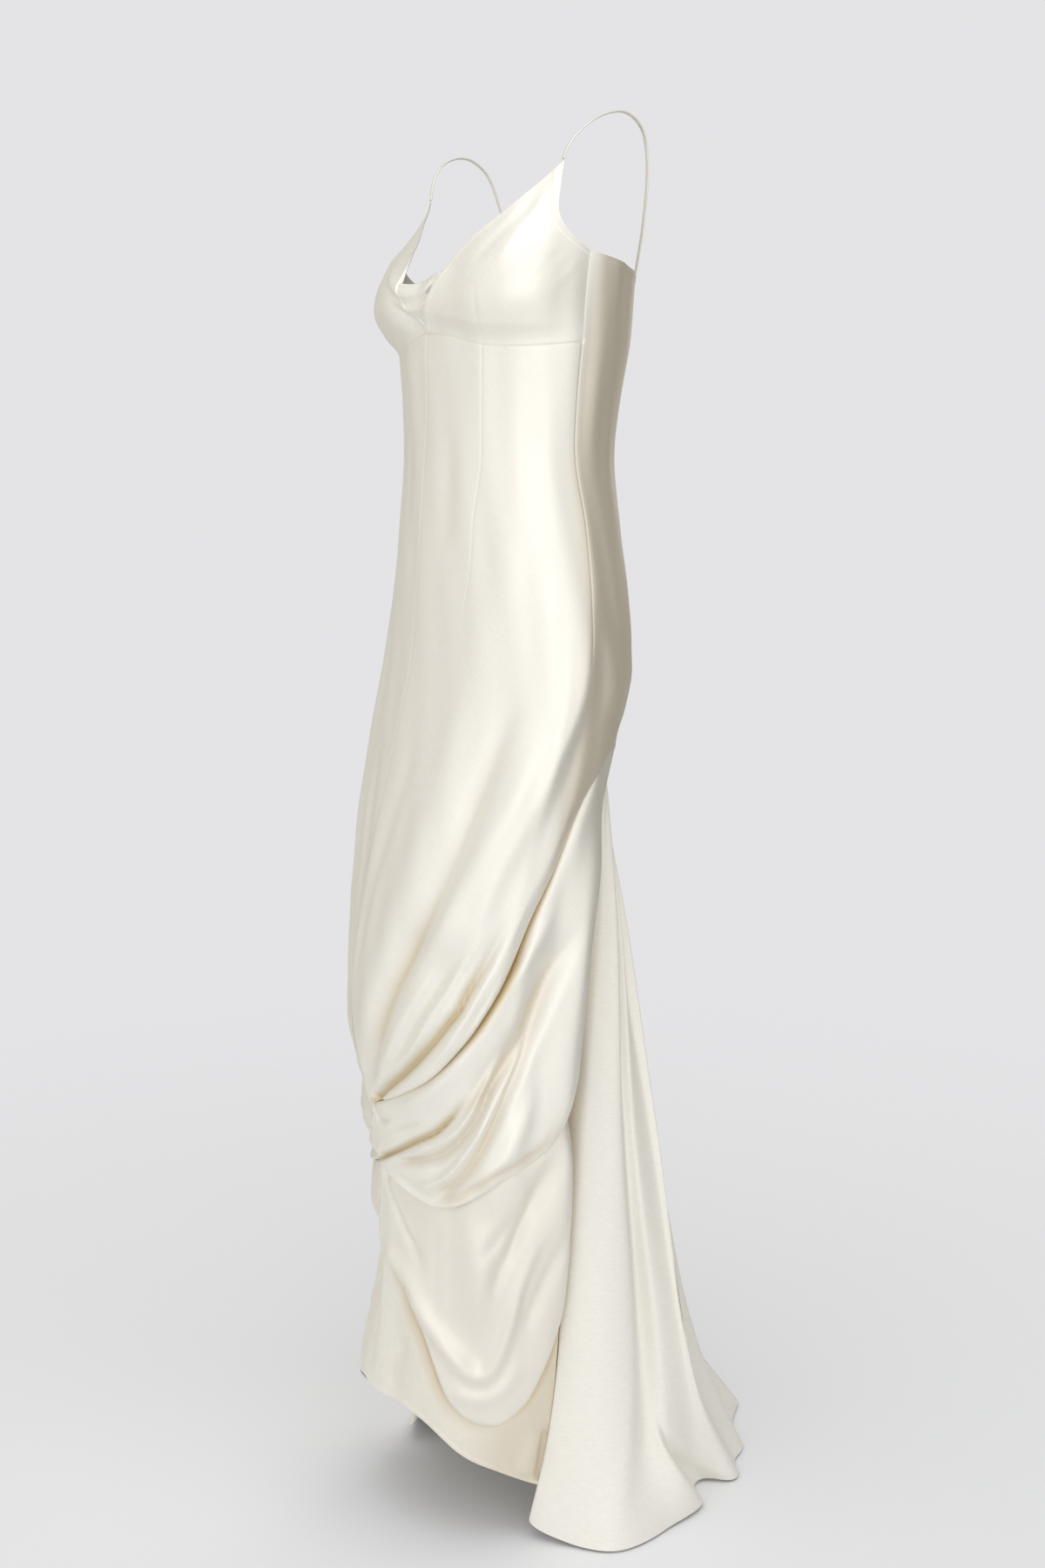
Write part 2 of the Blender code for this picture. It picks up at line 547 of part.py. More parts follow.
def straps():
    s = np.linspace(0.0, len(STRAP) - 1.0, STRAP_STATIONS)
    places = range(len(STRAP))
    line = np.stack([through(s, tuple((i, STRAP[i][k]) for i in places)) for k in range(3)], -1)
    for side, word in both_sides():
        back = right_shift(90.0, line[:, 2], side) * (line[:, 1] < 0)
        middle = posed(side * line[:, 0], line[:, 1] + back, line[:, 2])
        tangent = np.gradient(middle, axis=0)
        tangent /= np.linalg.norm(tangent, axis=-1, keepdims=True)
        across = np.cross(tangent, np.cross(np.array([1.0, 0.0, LEAN]), tangent))
        across /= np.linalg.norm(across, axis=-1, keepdims=True)
        up = np.cross(across, tangent)
        corners = [
            middle + 0.5 * STRAP_WIDTH * i * across + 0.5 * STRAP_THICK * j * up
            for i, j in ((-1, -1), (1, -1), (1, 1), (-1, 1))
        ]
        points = np.stack(corners, 1)
        count = len(points)
        index = np.arange(count * 4).reshape(count, 4)
        a, b = index[:-1], np.roll(index, -1, 1)[:-1]
        c, d = np.roll(index, -1, 1)[1:], index[1:]
        faces = np.stack([a, d, c, b], -1).reshape(-1, 4)
        ends = np.array([index[0], index[-1][::-1]])
        mesh = bpy.data.meshes.new(f"strap_{word}")
        mesh.from_pydata(points.reshape(-1, 3).tolist(), [], np.concatenate([faces, ends]).tolist())
        mesh.materials.append(make_material(SATIN, f"strap {word}"))
        thing = bpy.data.objects.new(f"strap_{word}", mesh)
        bpy.context.scene.collection.objects.link(thing)


clear_scene()
straps()
cups()
cowl()
fronts()
backs()
swags()
lowers()
trains()
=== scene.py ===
import bpy
import numpy as np
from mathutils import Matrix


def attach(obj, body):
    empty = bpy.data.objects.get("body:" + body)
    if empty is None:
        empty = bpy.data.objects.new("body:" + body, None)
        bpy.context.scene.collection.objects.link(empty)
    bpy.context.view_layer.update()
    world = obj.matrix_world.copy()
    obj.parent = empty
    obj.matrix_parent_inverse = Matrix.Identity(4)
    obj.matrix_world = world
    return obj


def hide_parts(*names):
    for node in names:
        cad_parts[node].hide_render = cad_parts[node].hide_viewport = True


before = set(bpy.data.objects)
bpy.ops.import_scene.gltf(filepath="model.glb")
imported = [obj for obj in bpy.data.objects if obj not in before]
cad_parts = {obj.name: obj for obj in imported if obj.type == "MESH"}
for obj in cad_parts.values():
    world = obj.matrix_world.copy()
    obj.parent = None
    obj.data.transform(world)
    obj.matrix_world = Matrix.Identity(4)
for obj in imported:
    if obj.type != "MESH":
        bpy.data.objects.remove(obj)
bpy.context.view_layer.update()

# --- Studio ---------------------------------------------------------------------------------
# A pale seamless floor that the train lies on, and a plain grey room. Most of the light comes
# from pale walls round the dress and a ceiling over them; three soft lamps add a little.

FLOOR = -1.503                  # the floor, below the tops of the straps
AIM = (0.0, -0.05, -0.72)       # middle of the dress, which the lamps point at
ROOM_SEEN = (0.775, 0.772, 0.787, 1.0)
# Brightness of the walls by azimuth, 0 straight ahead of the wearer and 90 on the wearer's left:
# bright ahead and on the left, dimmer on the right, dark behind, where the list starts and ends.
WALLS = (
    (-180, 0.20), (-150, 0.26), (-122, 0.34), (-66, 0.63), (-35, 0.71), (-5, 0.81), (20, 0.94),
    (45, 0.99), (109, 0.99), (126, 0.82), (138, 0.18), (151, 0.05), (161, 0.08), (180, 0.20),
)
NEUTRAL_WALL = 0.95             # dimmer walls are a little warmer
CEILING = (0.84, 0.845, 0.86, 1.0)
CEILING_FROM, CEILING_TO = 0.55, 0.95       # rise, as a sine, over which it takes over from the walls
FLOOR_COLOUR = (0.93, 0.94, 0.965, 1.0)
FLOOR_FADE = (0.45, 2.1)        # distances from the middle between which the floor fades out
FLOOR_HALF, FLOOR_BEHIND, FLOOR_GAP = 3.0, 0.05, 0.0005     # half its width, its place, gap under the hem


def new_node(tree, kind, values=None, **settings):
    """A shader node with its settings, and with fixed values on its own sockets."""
    node = tree.nodes.new("ShaderNode" + kind)
    for name, setting in settings.items():
        setattr(node, name, setting)
    for socket, value in (values or {}).items():
        node.inputs[socket].default_value = value
    return node


def join(tree, *links):
    """Links in a node tree, each given as (node, its output, next node, its input)."""
    for node, output, target, socket in links:
        tree.links.new(node.outputs[output], target.inputs[socket])


bpy.context.scene.view_settings.view_transform = "Standard"

room = bpy.data.worlds.new("room")
bpy.context.scene.world = room
room.use_nodes = True
tree = room.node_tree
tree.nodes.clear()
seen = new_node(tree, "Background", {"Color": ROOM_SEEN, "Strength": 1.0})
fill = new_node(tree, "Background", {"Strength": 1.0})
heading = new_node(tree, "TexCoord")
parts = new_node(tree, "SeparateXYZ")
ahead = new_node(tree, "Math", {1: -1.0}, operation="MULTIPLY")
azimuth = new_node(tree, "Math", operation="ARCTAN2")
share = new_node(tree, "MapRange", {"From Min": -np.pi, "From Max": np.pi})
walls = new_node(tree, "ValToRGB")
walls.color_ramp.interpolation = "B_SPLINE"
while len(walls.color_ramp.elements) < len(WALLS):
    walls.color_ramp.elements.new(0.5)
for stop, (angle, bright) in zip(walls.color_ramp.elements, WALLS):
    stop.position = (angle + 180.0) / 360.0
    warm = max(NEUTRAL_WALL - bright, 0.0)
    stop.color = (bright, bright * (0.995 - 0.09 * warm), bright * (0.985 - 0.30 * warm), 1.0)
rise = new_node(tree, "MapRange", {"From Min": CEILING_FROM, "From Max": CEILING_TO},
                interpolation_type="SMOOTHSTEP")
around = new_node(tree, "Mix", {"B": CEILING}, data_type="RGBA")
ray = new_node(tree, "LightPath")
mix = new_node(tree, "MixShader")
out = new_node(tree, "OutputWorld")
join(
    tree, (heading, "Generated", parts, "Vector"), (parts, "Y", ahead, 0), (parts, "X", azimuth, 0),
    (ahead, "Value", azimuth, 1), (azimuth, "Value", share, "Value"), (share, "Result", walls, "Fac"),
    (parts, "Z", rise, "Value"), (rise, "Result", around, "Factor"), (walls, "Color", around, "A"),
    (around, "Result", fill, "Color"), (ray, "Is Camera Ray", mix, "Fac"),
    (fill, "Background", mix, 1), (seen, "Background", mix, 2), (mix, "Shader", out, "Surface"),
)


def floor_material():
    """Pale matt floor that fades out in a ring, so that no edge shows against the room."""
    material = bpy.data.materials.new("studio floor")
    material.use_nodes = True
    tree = material.node_tree
    shader = tree.nodes["Principled BSDF"]
    shader.inputs["Base Color"].default_value = FLOOR_COLOUR
    shader.inputs["Roughness"].default_value = 0.85
    place = new_node(tree, "TexCoord")
    far = new_node(tree, "VectorMath", operation="LENGTH")
    limits = {"From Min": FLOOR_FADE[0], "From Max": FLOOR_FADE[1], "To Min": 1.0, "To Max": 0.0}
    fade = new_node(tree, "MapRange", limits, interpolation_type="SMOOTHSTEP")
    join(tree, (place, "Object", far, 0), (far, "Value", fade, "Value"), (fade, "Result", shader, "Alpha"))
    return material


floor_mesh = bpy.data.meshes.new("floor")
floor_corners = [(FLOOR_HALF * x, FLOOR_HALF * y, 0.0) for x, y in ((-1, -1), (1, -1), (1, 1), (-1, 1))]
floor_mesh.from_pydata(floor_corners, [], [(0, 1, 2, 3)])
floor = bpy.data.objects.new("floor", floor_mesh)
floor.location = (0.0, FLOOR_BEHIND, FLOOR - FLOOR_GAP)
floor_mesh.materials.append(floor_material())
bpy.context.scene.collection.objects.link(floor)


def lamp(name, azimuth, rise, away, size, power, colour):
    """Square soft lamp at an azimuth and a height angle from the middle of the dress."""
    data = bpy.data.lights.new(name, "AREA")
    data.shape = "RECTANGLE"
    data.size, data.size_y = size
    data.energy = power
    data.color = colour
    thing = bpy.data.objects.new(name, data)
    turn, up = np.radians(azimuth), np.radians(rise)
    towards = np.array([np.sin(turn) * np.cos(up), -np.cos(turn) * np.cos(up), np.sin(up)])
    thing.location = np.array(AIM) + away * towards
    thing.rotation_euler = (np.pi / 2 - up, 0.0, turn)
    bpy.context.scene.collection.objects.link(thing)


lamp("camera-side lamp", 62, 12, 2.6, (1.2, 2.0), 5, (1.0, 0.995, 0.98))
lamp("back lamp", -150, 20, 3.2, (1.2, 2.0), 5, (1.0, 0.995, 0.985))
lamp("top lamp", 40, 72, 2.6, (1.6, 1.6), 10, (1.0, 0.995, 0.985))

VIEW_AZIMUTH = 58.0     # the camera looks at the wearer's left front
VIEW_AWAY = 2.35        # its distance from the middle of the hem, on the floor plan
VIEW_ASIDE = 0.012      # how far it stands to the right of that line
VIEW_UP = 1.25          # its height above the floor
VIEW_DOWN = 10.47       # how far it looks down
VIEW_LENS = 50.0
HEM_MIDDLE = (0.0, -0.033)

camera_data = bpy.data.cameras.new("camera")
camera_data.lens = VIEW_LENS
camera = bpy.data.objects.new("camera", camera_data)
turn = np.radians(VIEW_AZIMUTH)
camera.location = (
    HEM_MIDDLE[0] + VIEW_AWAY * np.sin(turn) + VIEW_ASIDE * np.cos(turn),
    HEM_MIDDLE[1] - VIEW_AWAY * np.cos(turn) + VIEW_ASIDE * np.sin(turn),
    FLOOR + VIEW_UP,
)
camera.rotation_euler = (np.radians(90.0 - VIEW_DOWN), 0.0, turn)
bpy.context.scene.collection.objects.link(camera)
bpy.context.scene.camera = camera

# --- Satin cloth ----------------------------------------------------------------------------
# Ivory silk satin cut on the bias: a soft broad sheen on the face, fine slubs along the weft,
# and a dull crepe side that is turned out on the train and on the band above the front hem.

IVORY = (0.905, 0.883, 0.818, 1.0)
GOLDEN_SHADE = (0.62, 0.47, 0.235, 1.0)      # painted shade: the same silk where light reaches it only through the silk
THREAD_ANGLE, CREPE_ANGLE = 0.78, 0.12      # slant of the threads on the map of the cloth
THREAD_HEIGHT = 0.0004
CREPE_SLUB = 1.8        # how much stronger the slubs are on the dull side


def weave_group():
    """Node group: slubs are noise stretched along one thread direction, laid at a slant on the
    cloth's own map in metres; a wide noise gives the uneven tone of the piece of cloth."""
    group = bpy.data.node_groups.new("satin weave", "ShaderNodeTree")
    colour, number = "NodeSocketColor", "NodeSocketFloat"
    for name, kind, start in (("Cloth", colour, IVORY), ("Slub", number, 1.0),
                              ("Gloss roughness", number, 0.4), ("Thread angle", number, THREAD_ANGLE)):
        group.interface.new_socket(name=name, in_out="INPUT", socket_type=kind).default_value = start
    for name, kind in (("Colour", colour), ("Roughness", number), ("Height", number)):
        group.interface.new_socket(name=name, in_out="OUTPUT", socket_type=kind)
    given, result = group.nodes.new("NodeGroupInput"), group.nodes.new("NodeGroupOutput")
    uv = new_node(group, "UVMap", uv_map="cloth")
    turned = new_node(group, "VectorRotate", rotation_type="Z_AXIS")
    join(group, (uv, "UV", turned, "Vector"), (given, "Thread angle", turned, "Angle"))

    def worked(kind, first, second, clamp=False):
        """Sum, difference or product of two sockets or numbers."""
        node = new_node(group, "Math", operation=kind, use_clamp=clamp)
        for socket, term in zip(node.inputs, (first, second)):
            if isinstance(term, (int, float)):
                socket.default_value = term
            else:
                group.links.new(term, socket)
        return node.outputs["Value"]

    def stretched(scale, detail):
        """Noise of so many waves a metre along and across the threads, moved to run round 0."""
        place = new_node(group, "Mapping", {"Scale": scale})
        noise = new_node(group, "TexNoise", {"Scale": 1.0, "Detail": detail})
        join(group, (turned, "Vector", place, "Vector"), (place, "Vector", noise, "Vector"))
        return worked("SUBTRACT", noise.outputs["Fac"], 0.5)

    weft = stretched((70.0, 950.0, 1.0), 2.0)
    warp = stretched((900.0, 110.0, 1.0), 1.0)
    slub = worked("MULTIPLY", worked("ADD", weft, worked("MULTIPLY", warp, 0.5)), given.outputs["Slub"])
    wide = stretched((9.0, 5.0, 1.0), 2.0)
    change = worked("ADD", worked("MULTIPLY", slub, 0.10), worked("MULTIPLY", wide, 0.035))
    tinted = new_node(group, "VectorMath", operation="SCALE")
    group.links.new(worked("ADD", 1.0, change), tinted.inputs["Scale"])
    duller = worked("ADD", worked("MULTIPLY", slub, 0.16), worked("MULTIPLY", wide, 0.10))
    rough = worked("ADD", given.outputs["Gloss roughness"], duller, True)
    group.links.new(rough, result.inputs["Roughness"])
    group.links.new(slub, result.inputs["Height"])
    join(group, (given, "Cloth", tinted, 0), (tinted, "Vector", result, "Colour"))
    return group


WEAVE = weave_group()


def satin_material(name, gloss, dull, slub, angle=THREAD_ANGLE, bump=0.35, metal=0.6):
    """Satin whose roughness runs from gloss to dull, and whose slubs grow, where the piece's
    "crepe" value rises, and whose colour runs to a painted golden shade where its "deep" value does."""
    material = bpy.data.materials.new(name)
    material.use_nodes = True
    tree = material.node_tree
    shader = tree.nodes["Principled BSDF"]
    shader.inputs["Metallic"].default_value = metal
    shader.inputs["Specular IOR Level"].default_value = 0.6
    weave = new_node(tree, "Group", {"Cloth": IVORY, "Thread angle": angle}, node_tree=WEAVE)
    crepe = new_node(tree, "Attribute", attribute_name="crepe")
    for socket, low, high in (("Gloss roughness", gloss, dull), ("Slub", slub, CREPE_SLUB * slub)):
        between = new_node(tree, "MapRange", {"To Min": low, "To Max": high})
        join(tree, (crepe, "Fac", between, "Value"), (between, "Result", weave, socket))
    bumps = new_node(tree, "Bump", {"Strength": bump, "Distance": THREAD_HEIGHT})
    # where the piece's "deep" value rises, the colour is mixed towards a painted golden shade
    deep = new_node(tree, "Attribute", attribute_name="deep")
    golden = new_node(tree, "Mix", {"B": GOLDEN_SHADE}, data_type="RGBA")
    join(
        tree, (weave, "Height", bumps, "Height"), (deep, "Fac", golden, "Factor"),
        (weave, "Colour", golden, "A"), (golden, "Result", shader, "Base Color"),
        (weave, "Roughness", shader, "Roughness"), (bumps, "Normal", shader, "Normal"),
    )
    return material


# --- Front panels ---------------------------------------------------------------------------
# One long bias panel on each side of the centre-front seam, shaped by a dart from the bust seam
# to the hip. Below the hip it hangs in soft folds that run to the upper tack at the knee.

SHOULDER = -FLOOR       # strap tops above the floor; heights below are measured from the floor
CLOTH = 0.0007          # thickness of the cloth
RING_RADIUS = 0.14      # mean radius of the body, which turns an angle into a length of cloth
DEGREE = np.radians(1.0) * RING_RADIUS      # that length for one degree
POSE_FROM, POSE_TO, TURN, LEAN = 1.00, 1.50, 9.0, 0.11     # how the shoulders turn and lean
# Body rings: height, half width, front depth, back depth, centre behind the straps
RINGS = (
    (0.000, 0.128, 0.134, 0.108, -0.085),
    (0.150, 0.134, 0.122, 0.116, -0.089),
    (0.250, 0.138, 0.108, 0.124, -0.093),
    (0.360, 0.142, 0.102, 0.130, -0.096),
    (0.450, 0.145, 0.107, 0.132, -0.100),
    (0.575, 0.150, 0.120, 0.130, -0.101),
    (0.690, 0.152, 0.122, 0.118, -0.085),
    (0.790, 0.158, 0.120, 0.108, -0.069),
    (0.870, 0.161, 0.118, 0.114, -0.055),
    (0.950, 0.162, 0.116, 0.117, -0.039),
    (1.030, 0.155, 0.112, 0.112, -0.035),
    (1.100, 0.143, 0.107, 0.104, -0.036),
    (1.170, 0.129, 0.104, 0.102, -0.037),
    (1.230, 0.132, 0.106, 0.106, -0.035),
    (1.287, 0.139, 0.111, 0.112, -0.033),
    (1.330, 0.143, 0.110, 0.112, -0.032),
    (1.380, 0.147, 0.100, 0.108, -0.028),
    (1.445, 0.150, 0.080, 0.098, -0.021),
    (1.520, 0.150, 0.062, 0.085, -0.003),
)

# Seams that run down the dress: height, angle from the centre front towards the wearer's left
CENTRE_FRONT = (
    (0.100, 0.0), (0.250, 0.0), (0.417, 0.0), (0.482, 0.0), (0.560, -9.0), (0.620, -14.0), (0.700, -13.0),
    (0.860, -5.0), (1.060, -2.0), (1.190, -1.0), (1.300, 0.0),
)
SIDE_SEAM = (
    (0.750, 90.0), (0.950, 88.0), (1.010, 90.0), (1.100, 91.0), (1.190, 86.0), (1.280, 82.0), (1.365, 78.0),
)
TRAIN_SEAM = (
    (0.045, 110.0), (0.205, 116.0), (0.307, 121.0), (0.408, 127.0), (0.495, 134.0), (0.570, 140.5),
    (0.620, 142.0), (0.730, 144.0), (0.800, 147.0), (0.860, 150.0),
)
# Long dart: height, angle measured from the centre-front seam; below 1.0 only a line of the grid
LONG_DART = (
    (0.450, 21.0), (0.600, 22.0), (0.800, 24.0), (0.900, 26.0), (1.000, 28.0), (1.062, 31.5), (1.115, 32.5),
    (1.163, 36.0), (1.225, 34.0), (1.280, 32.0),
)
DART_END, SIDE_SEAM_END = 1.000, 0.955      # heights where the stitched lines fade into the cloth

# Edges that run round the dress: angle, height
UNDERBUST = ((0.0, 1.300), (15.0, 1.292), (31.0, 1.282), (48.0, 1.278), (65.0, 1.278), (82.0, 1.280))
DRAPE_EDGE = (
    (0.0, 0.482), (24.0, 0.508), (40.0, 0.532), (51.0, 0.557), (64.0, 0.598), (74.0, 0.645), (80.0, 0.690),
    (90.0, 0.750), (98.0, 0.798), (119.0, 0.862), (135.0, 0.870), (150.0, 0.860), (180.0, 0.850),
)
# Rolled lower edge of the front layer: angle, radius of the roll, how far it stands out, and how
# deep the crease under it is
DRAPE_ROLL = (
    (0.0, 0.003, 0.003, 0.002), (20.0, 0.004, 0.005, 0.002), (45.0, 0.005, 0.007, 0.004),
    (60.0, 0.008, 0.009, 0.009), (75.0, 0.014, 0.008, 0.011), (88.0, 0.024, 0.006, 0.010),
    (98.0, 0.030, 0.004, 0.007), (112.0, 0.032, 0.002, 0.002), (128.0, 0.030, 0.000, 0.000),
    (180.0, 0.030, 0.000, 0.000),
)
# Painted golden shade in the crease under that edge, and how wide it shows: angle, share, width
DRAPE_SHADE = (
    (0.0, 0.45, 0.0020), (40.0, 0.45, 0.0020), (52.0, 0.70, 0.0030), (62.0, 0.95, 0.0050),
    (80.0, 1.00, 0.0060), (88.0, 0.85, 0.0045), (96.0, 0.50, 0.0025), (110.0, 0.15, 0.0020),
    (125.0, 0.00, 0.0020), (180.0, 0.00, 0.0020),
)
# Two paths down the front, (angle, height) rows: the hollow beside the ridge down the thigh, and
# the sharp crease out of the upper tack
THIGH_HOLLOW = (
    (12, 0.532), (21, 0.568), (28, 0.603), (34, 0.642), (39, 0.678), (43, 0.716), (46, 0.760),
)
UPPER_CREASE = (
    (8, 0.495), (21, 0.517), (31, 0.534), (40, 0.553), (47, 0.571), (53, 0.590), (58, 0.607),
    (61, 0.625), (64, 0.642), (67, 0.662), (69, 0.680),
)
# Sharp pleats with painted golden shade, as folds whose first number is the share of that shade
UPPER_PLEATS = (
    (0.80, 0.0028, 0.0036, 0.04, 0.35, ((1, 0.485), *UPPER_CREASE)),
    (0.35, 0.0060, 0.0080, 0.20, 0.40, THIGH_HOLLOW),
)
ROLL_FADE = 0.045       # distance over which a roll dies away above its crown
CREASE_FADE = 0.0065    # distance over which the layer below comes back out of the crease

# Folds of the front and back: stands out, half width below and above, share of its length over
# which it starts and over which it dies away, path of (angle from the centre front, height)
UPPER_FOLDS = (
    # the broad ridge down the thigh, the hollow beside it, and the next ridge
    (0.0060, 0.020, 0.020, 0.12, 0.35, (
        (2, 0.492), (10, 0.532), (17, 0.589), (23, 0.647), (29, 0.721), (31, 0.768), (33, 0.823),
        (34, 0.869), (35, 0.930), (36, 1.000), (38, 1.060), (40, 1.120))),
    (-0.0090, 0.010, 0.015, 0.10, 0.25, (
        (3, 0.495), *THIGH_HOLLOW, (49, 0.810), (52, 0.860), (54, 0.905), (56, 0.950))),
    (0.0050, 0.014, 0.013, 0.20, 0.30, (
        (12, 0.518), (24, 0.560), (34, 0.605), (42, 0.650), (48, 0.690), (52, 0.727), (56, 0.765),
        (62, 0.820), (67, 0.860), (73, 0.920))),
    # the narrow bright ridges over the crease, and the crease itself
    (0.0030, 0.0045, 0.0060, 0.25, 0.45, (
        (16, 0.525), (27, 0.556), (35, 0.588), (41, 0.615), (46, 0.640), (50, 0.667), (53, 0.688))),
    (-0.0020, 0.005, 0.005, 0.25, 0.35, (
        (22, 0.530), (33, 0.563), (40, 0.588), (46, 0.614), (51, 0.640), (55, 0.667), (60, 0.700))),
    (0.0044, 0.0045, 0.0055, 0.25, 0.35, (
        (24, 0.527), (34, 0.550), (42, 0.575), (48, 0.603), (53, 0.625), (57, 0.650), (61, 0.675),
        (65, 0.702))),
    (-0.0100, 0.0048, 0.0060, 0.05, 0.35, ((2, 0.487), *UPPER_CREASE, (71, 0.700), (73, 0.725))),
    (0.0026, 0.0040, 0.0035, 0.25, 0.35, (
        (36, 0.531), (46, 0.550), (53, 0.569), (58, 0.590), (62, 0.609), (65, 0.628), (68, 0.651),
        (71, 0.680))),
    (-0.0022, 0.0035, 0.0035, 0.25, 0.35, (
        (42, 0.533), (50, 0.549), (57, 0.568), (62, 0.588), (66, 0.608), (70, 0.632), (74, 0.664))),
    # the turn of the hip into shade, and the hollow behind it
    (0.0125, 0.018, 0.050, 0.15, 0.35, (
        (50, 0.640), (57, 0.690), (64, 0.757), (69, 0.800), (75, 0.850), (80, 0.895), (84, 0.952),
        (87, 1.020), (88, 1.080))),
    # slow hollows at the centre front, under the bust and at the back
    (-0.0024, 0.008, 0.010, 0.25, 0.35, ((4, 0.600), (6, 0.660), (9, 0.740), (12, 0.820), (15, 0.900))),
    (-0.0010, 0.012, 0.016, 0.30, 0.40, ((38, 0.980), (39, 1.030), (40, 1.075), (42, 1.120))),
    (0.0008, 0.012, 0.014, 0.30, 0.40, ((52, 1.020), (53, 1.080), (55, 1.140), (58, 1.200))),
    (-0.0016, 0.012, 0.012, 0.30, 0.40, ((16, 1.060), (17, 1.110), (18, 1.160), (18, 1.210))),
    (0.0030, 0.020, 0.020, 0.3, 0.4, ((112, 0.905), (108, 0.960), (100, 1.020))),
    (-0.0030, 0.016, 0.016, 0.3, 0.4, ((128, 0.885), (122, 0.930), (112, 0.985), (104, 1.030))),
    (0.0026, 0.014, 0.016, 0.3, 0.4, ((140, 0.880), (138, 0.925), (132, 0.975))),
)
PATH_STEPS, FOLD_REACH = 60, 3.2    # places along a fold's path, and half widths it reaches to the side

# Tacks on the centre-front seam: height, reach, depth and number of the pleats that fan out
TACKS = ((0.482, 0.012, 0.0007, 9.0), (0.417, 0.011, 0.0006, 8.0))
TACK_PINCH, PINCH_WIDE = 0.0020, 0.008      # depth and half width of the pinch at a tack
TACK_CLEAR = 0.010                          # how near the folds come to a tack before they die away
TACK_SHADE, TACK_SHADE_WIDE = 0.35, 0.0040    # share of painted golden shade in the pinch, and its half width
# How far the right side is pulled in beside the tacks: height, distance
RIGHT_TAUT = (
    (0.160, 0.000), (0.200, 0.006), (0.250, 0.015), (0.290, 0.020), (0.315, 0.018), (0.335, 0.010),
    (0.360, 0.010), (0.390, 0.013), (0.417, 0.016), (0.436, 0.010), (0.455, 0.007), (0.470, 0.010),
    (0.482, 0.014), (0.500, 0.012), (0.560, 0.007), (0.620, 0.005), (0.700, 0.000),
)
RIGHT_FLATTER = 0.75    # how much less the rolls stand out beside the centre front on the right
RIGHT_SHALLOW = 0.5     # share of their depth that the right side's folds lose there:
SHALLOW_TO, SHALLOW_FADE = 40.0, 30.0       # up to this angle from the seam,
SHALLOW_UNDER, UNDER_FADE = 0.80, 0.10      # and below this height
RIGHT_OWN = 18.0        # angle over which the right side's own folds take over from the left's
RIGHT_SHADE = 0.5        # share of the pleats' painted shade that the right side has
HOLLOW_SHADE, HOLLOW_DEEP = 0.22, 0.010      # share of painted golden shade in the deepest hollows, and their depth
SIDE_SHADE, SIDE_FROM, SIDE_TO = 0.32, 78.0, 94.0    # the same painted shade on the side, turned away from the light
SLACK = 0.00034         # size of the small swells of soft cloth
GROOVE_DEEP, GROOVE_WIDE = 0.0007, 0.0014   # a pressed seam's groove
BAND_OUT, BAND_AT, BAND_WIDE = 0.00018, 0.006, 0.004        # its allowance, which shows beside it
SEAM_FADE = 0.03        # distance over which a stitched line fades into the cloth
BUST_SEAM_DEEP, BUST_SEAM_TO = 0.0009, 83.0   # depth of the bust seam, and the angle where it ends
DART_SHARE = 0.4        # place of the dart among the front's grid lines
GRID_ROUNDS, GRID_PACE = 30, 0.6    # how often a grid is worked out again, and how far it then moves


def cubic(low, high, rise_low, rise_high, s):
    """The cubic from low at s = 0 to high at s = 1 that has the given slopes there."""
    ends = low * (1 + 2 * s) * (1 - s) ** 2 + high * s * s * (3 - 2 * s)
    return ends + rise_low * s * (1 - s) ** 2 - rise_high * s * s * (1 - s)


def through(x, table, column=1):
    """A smooth curve through the table's rows: a cubic between each two, with shared slopes."""
    xs = np.array([row[0] for row in table], float)
    ys = np.array([row[column] for row in table], float)
    x = np.clip(x, xs[0], xs[-1])
    slope = np.gradient(ys, xs)
    i = np.clip(np.searchsorted(xs, x, side="right") - 1, 0, len(xs) - 2)
    span = xs[i + 1] - xs[i]
    return cubic(ys[i], ys[i + 1], span * slope[i], span * slope[i + 1], (x - xs[i]) / span)


def numbered(rows):
    """The rows with their number in front, so that a curve can run through them in turn."""
    return tuple((i, *row) for i, row in enumerate(rows))


def ease(x):
    """A smooth rise from 0 at x = 0 to 1 at x = 1: x squared times (3 - 2 x)."""
    x = np.clip(x, 0.0, 1.0)
    return x * x * (3 - 2 * x)


def bell(x, width):
    """A bell curve, 1 at x = 0: exp(-(x / width) squared)."""
    return np.exp(-((x / width) ** 2))


def from_centre_front(angle, height, side):
    """Angle measured from the centre-front seam, which wanders; at the side it no longer matters."""
    return np.abs(angle - side * through(height, CENTRE_FRONT) * np.clip(1 - angle / 90.0, 0, 1))


def to_chart(away, height, side):
    """The other way round: chart angle of a place so far from the centre-front seam."""
    seam = side * through(height, CENTRE_FRONT)
    return np.where(away < 90.0, (away + seam) / (1 + seam / 90.0), away)


def uneven(k, side):
    """The right side's folds lie a little elsewhere: shift in angle and height, and strength, each
    a sine wave in the fold's number."""
    if side > 0:
        return 0.0, 0.0, 1.0
    return 2.5 * np.sin(1.7 * k + 0.6), 0.009 * np.cos(2.3 * k), 0.92 + 0.2 * np.sin(1.1 * k + 0.4)


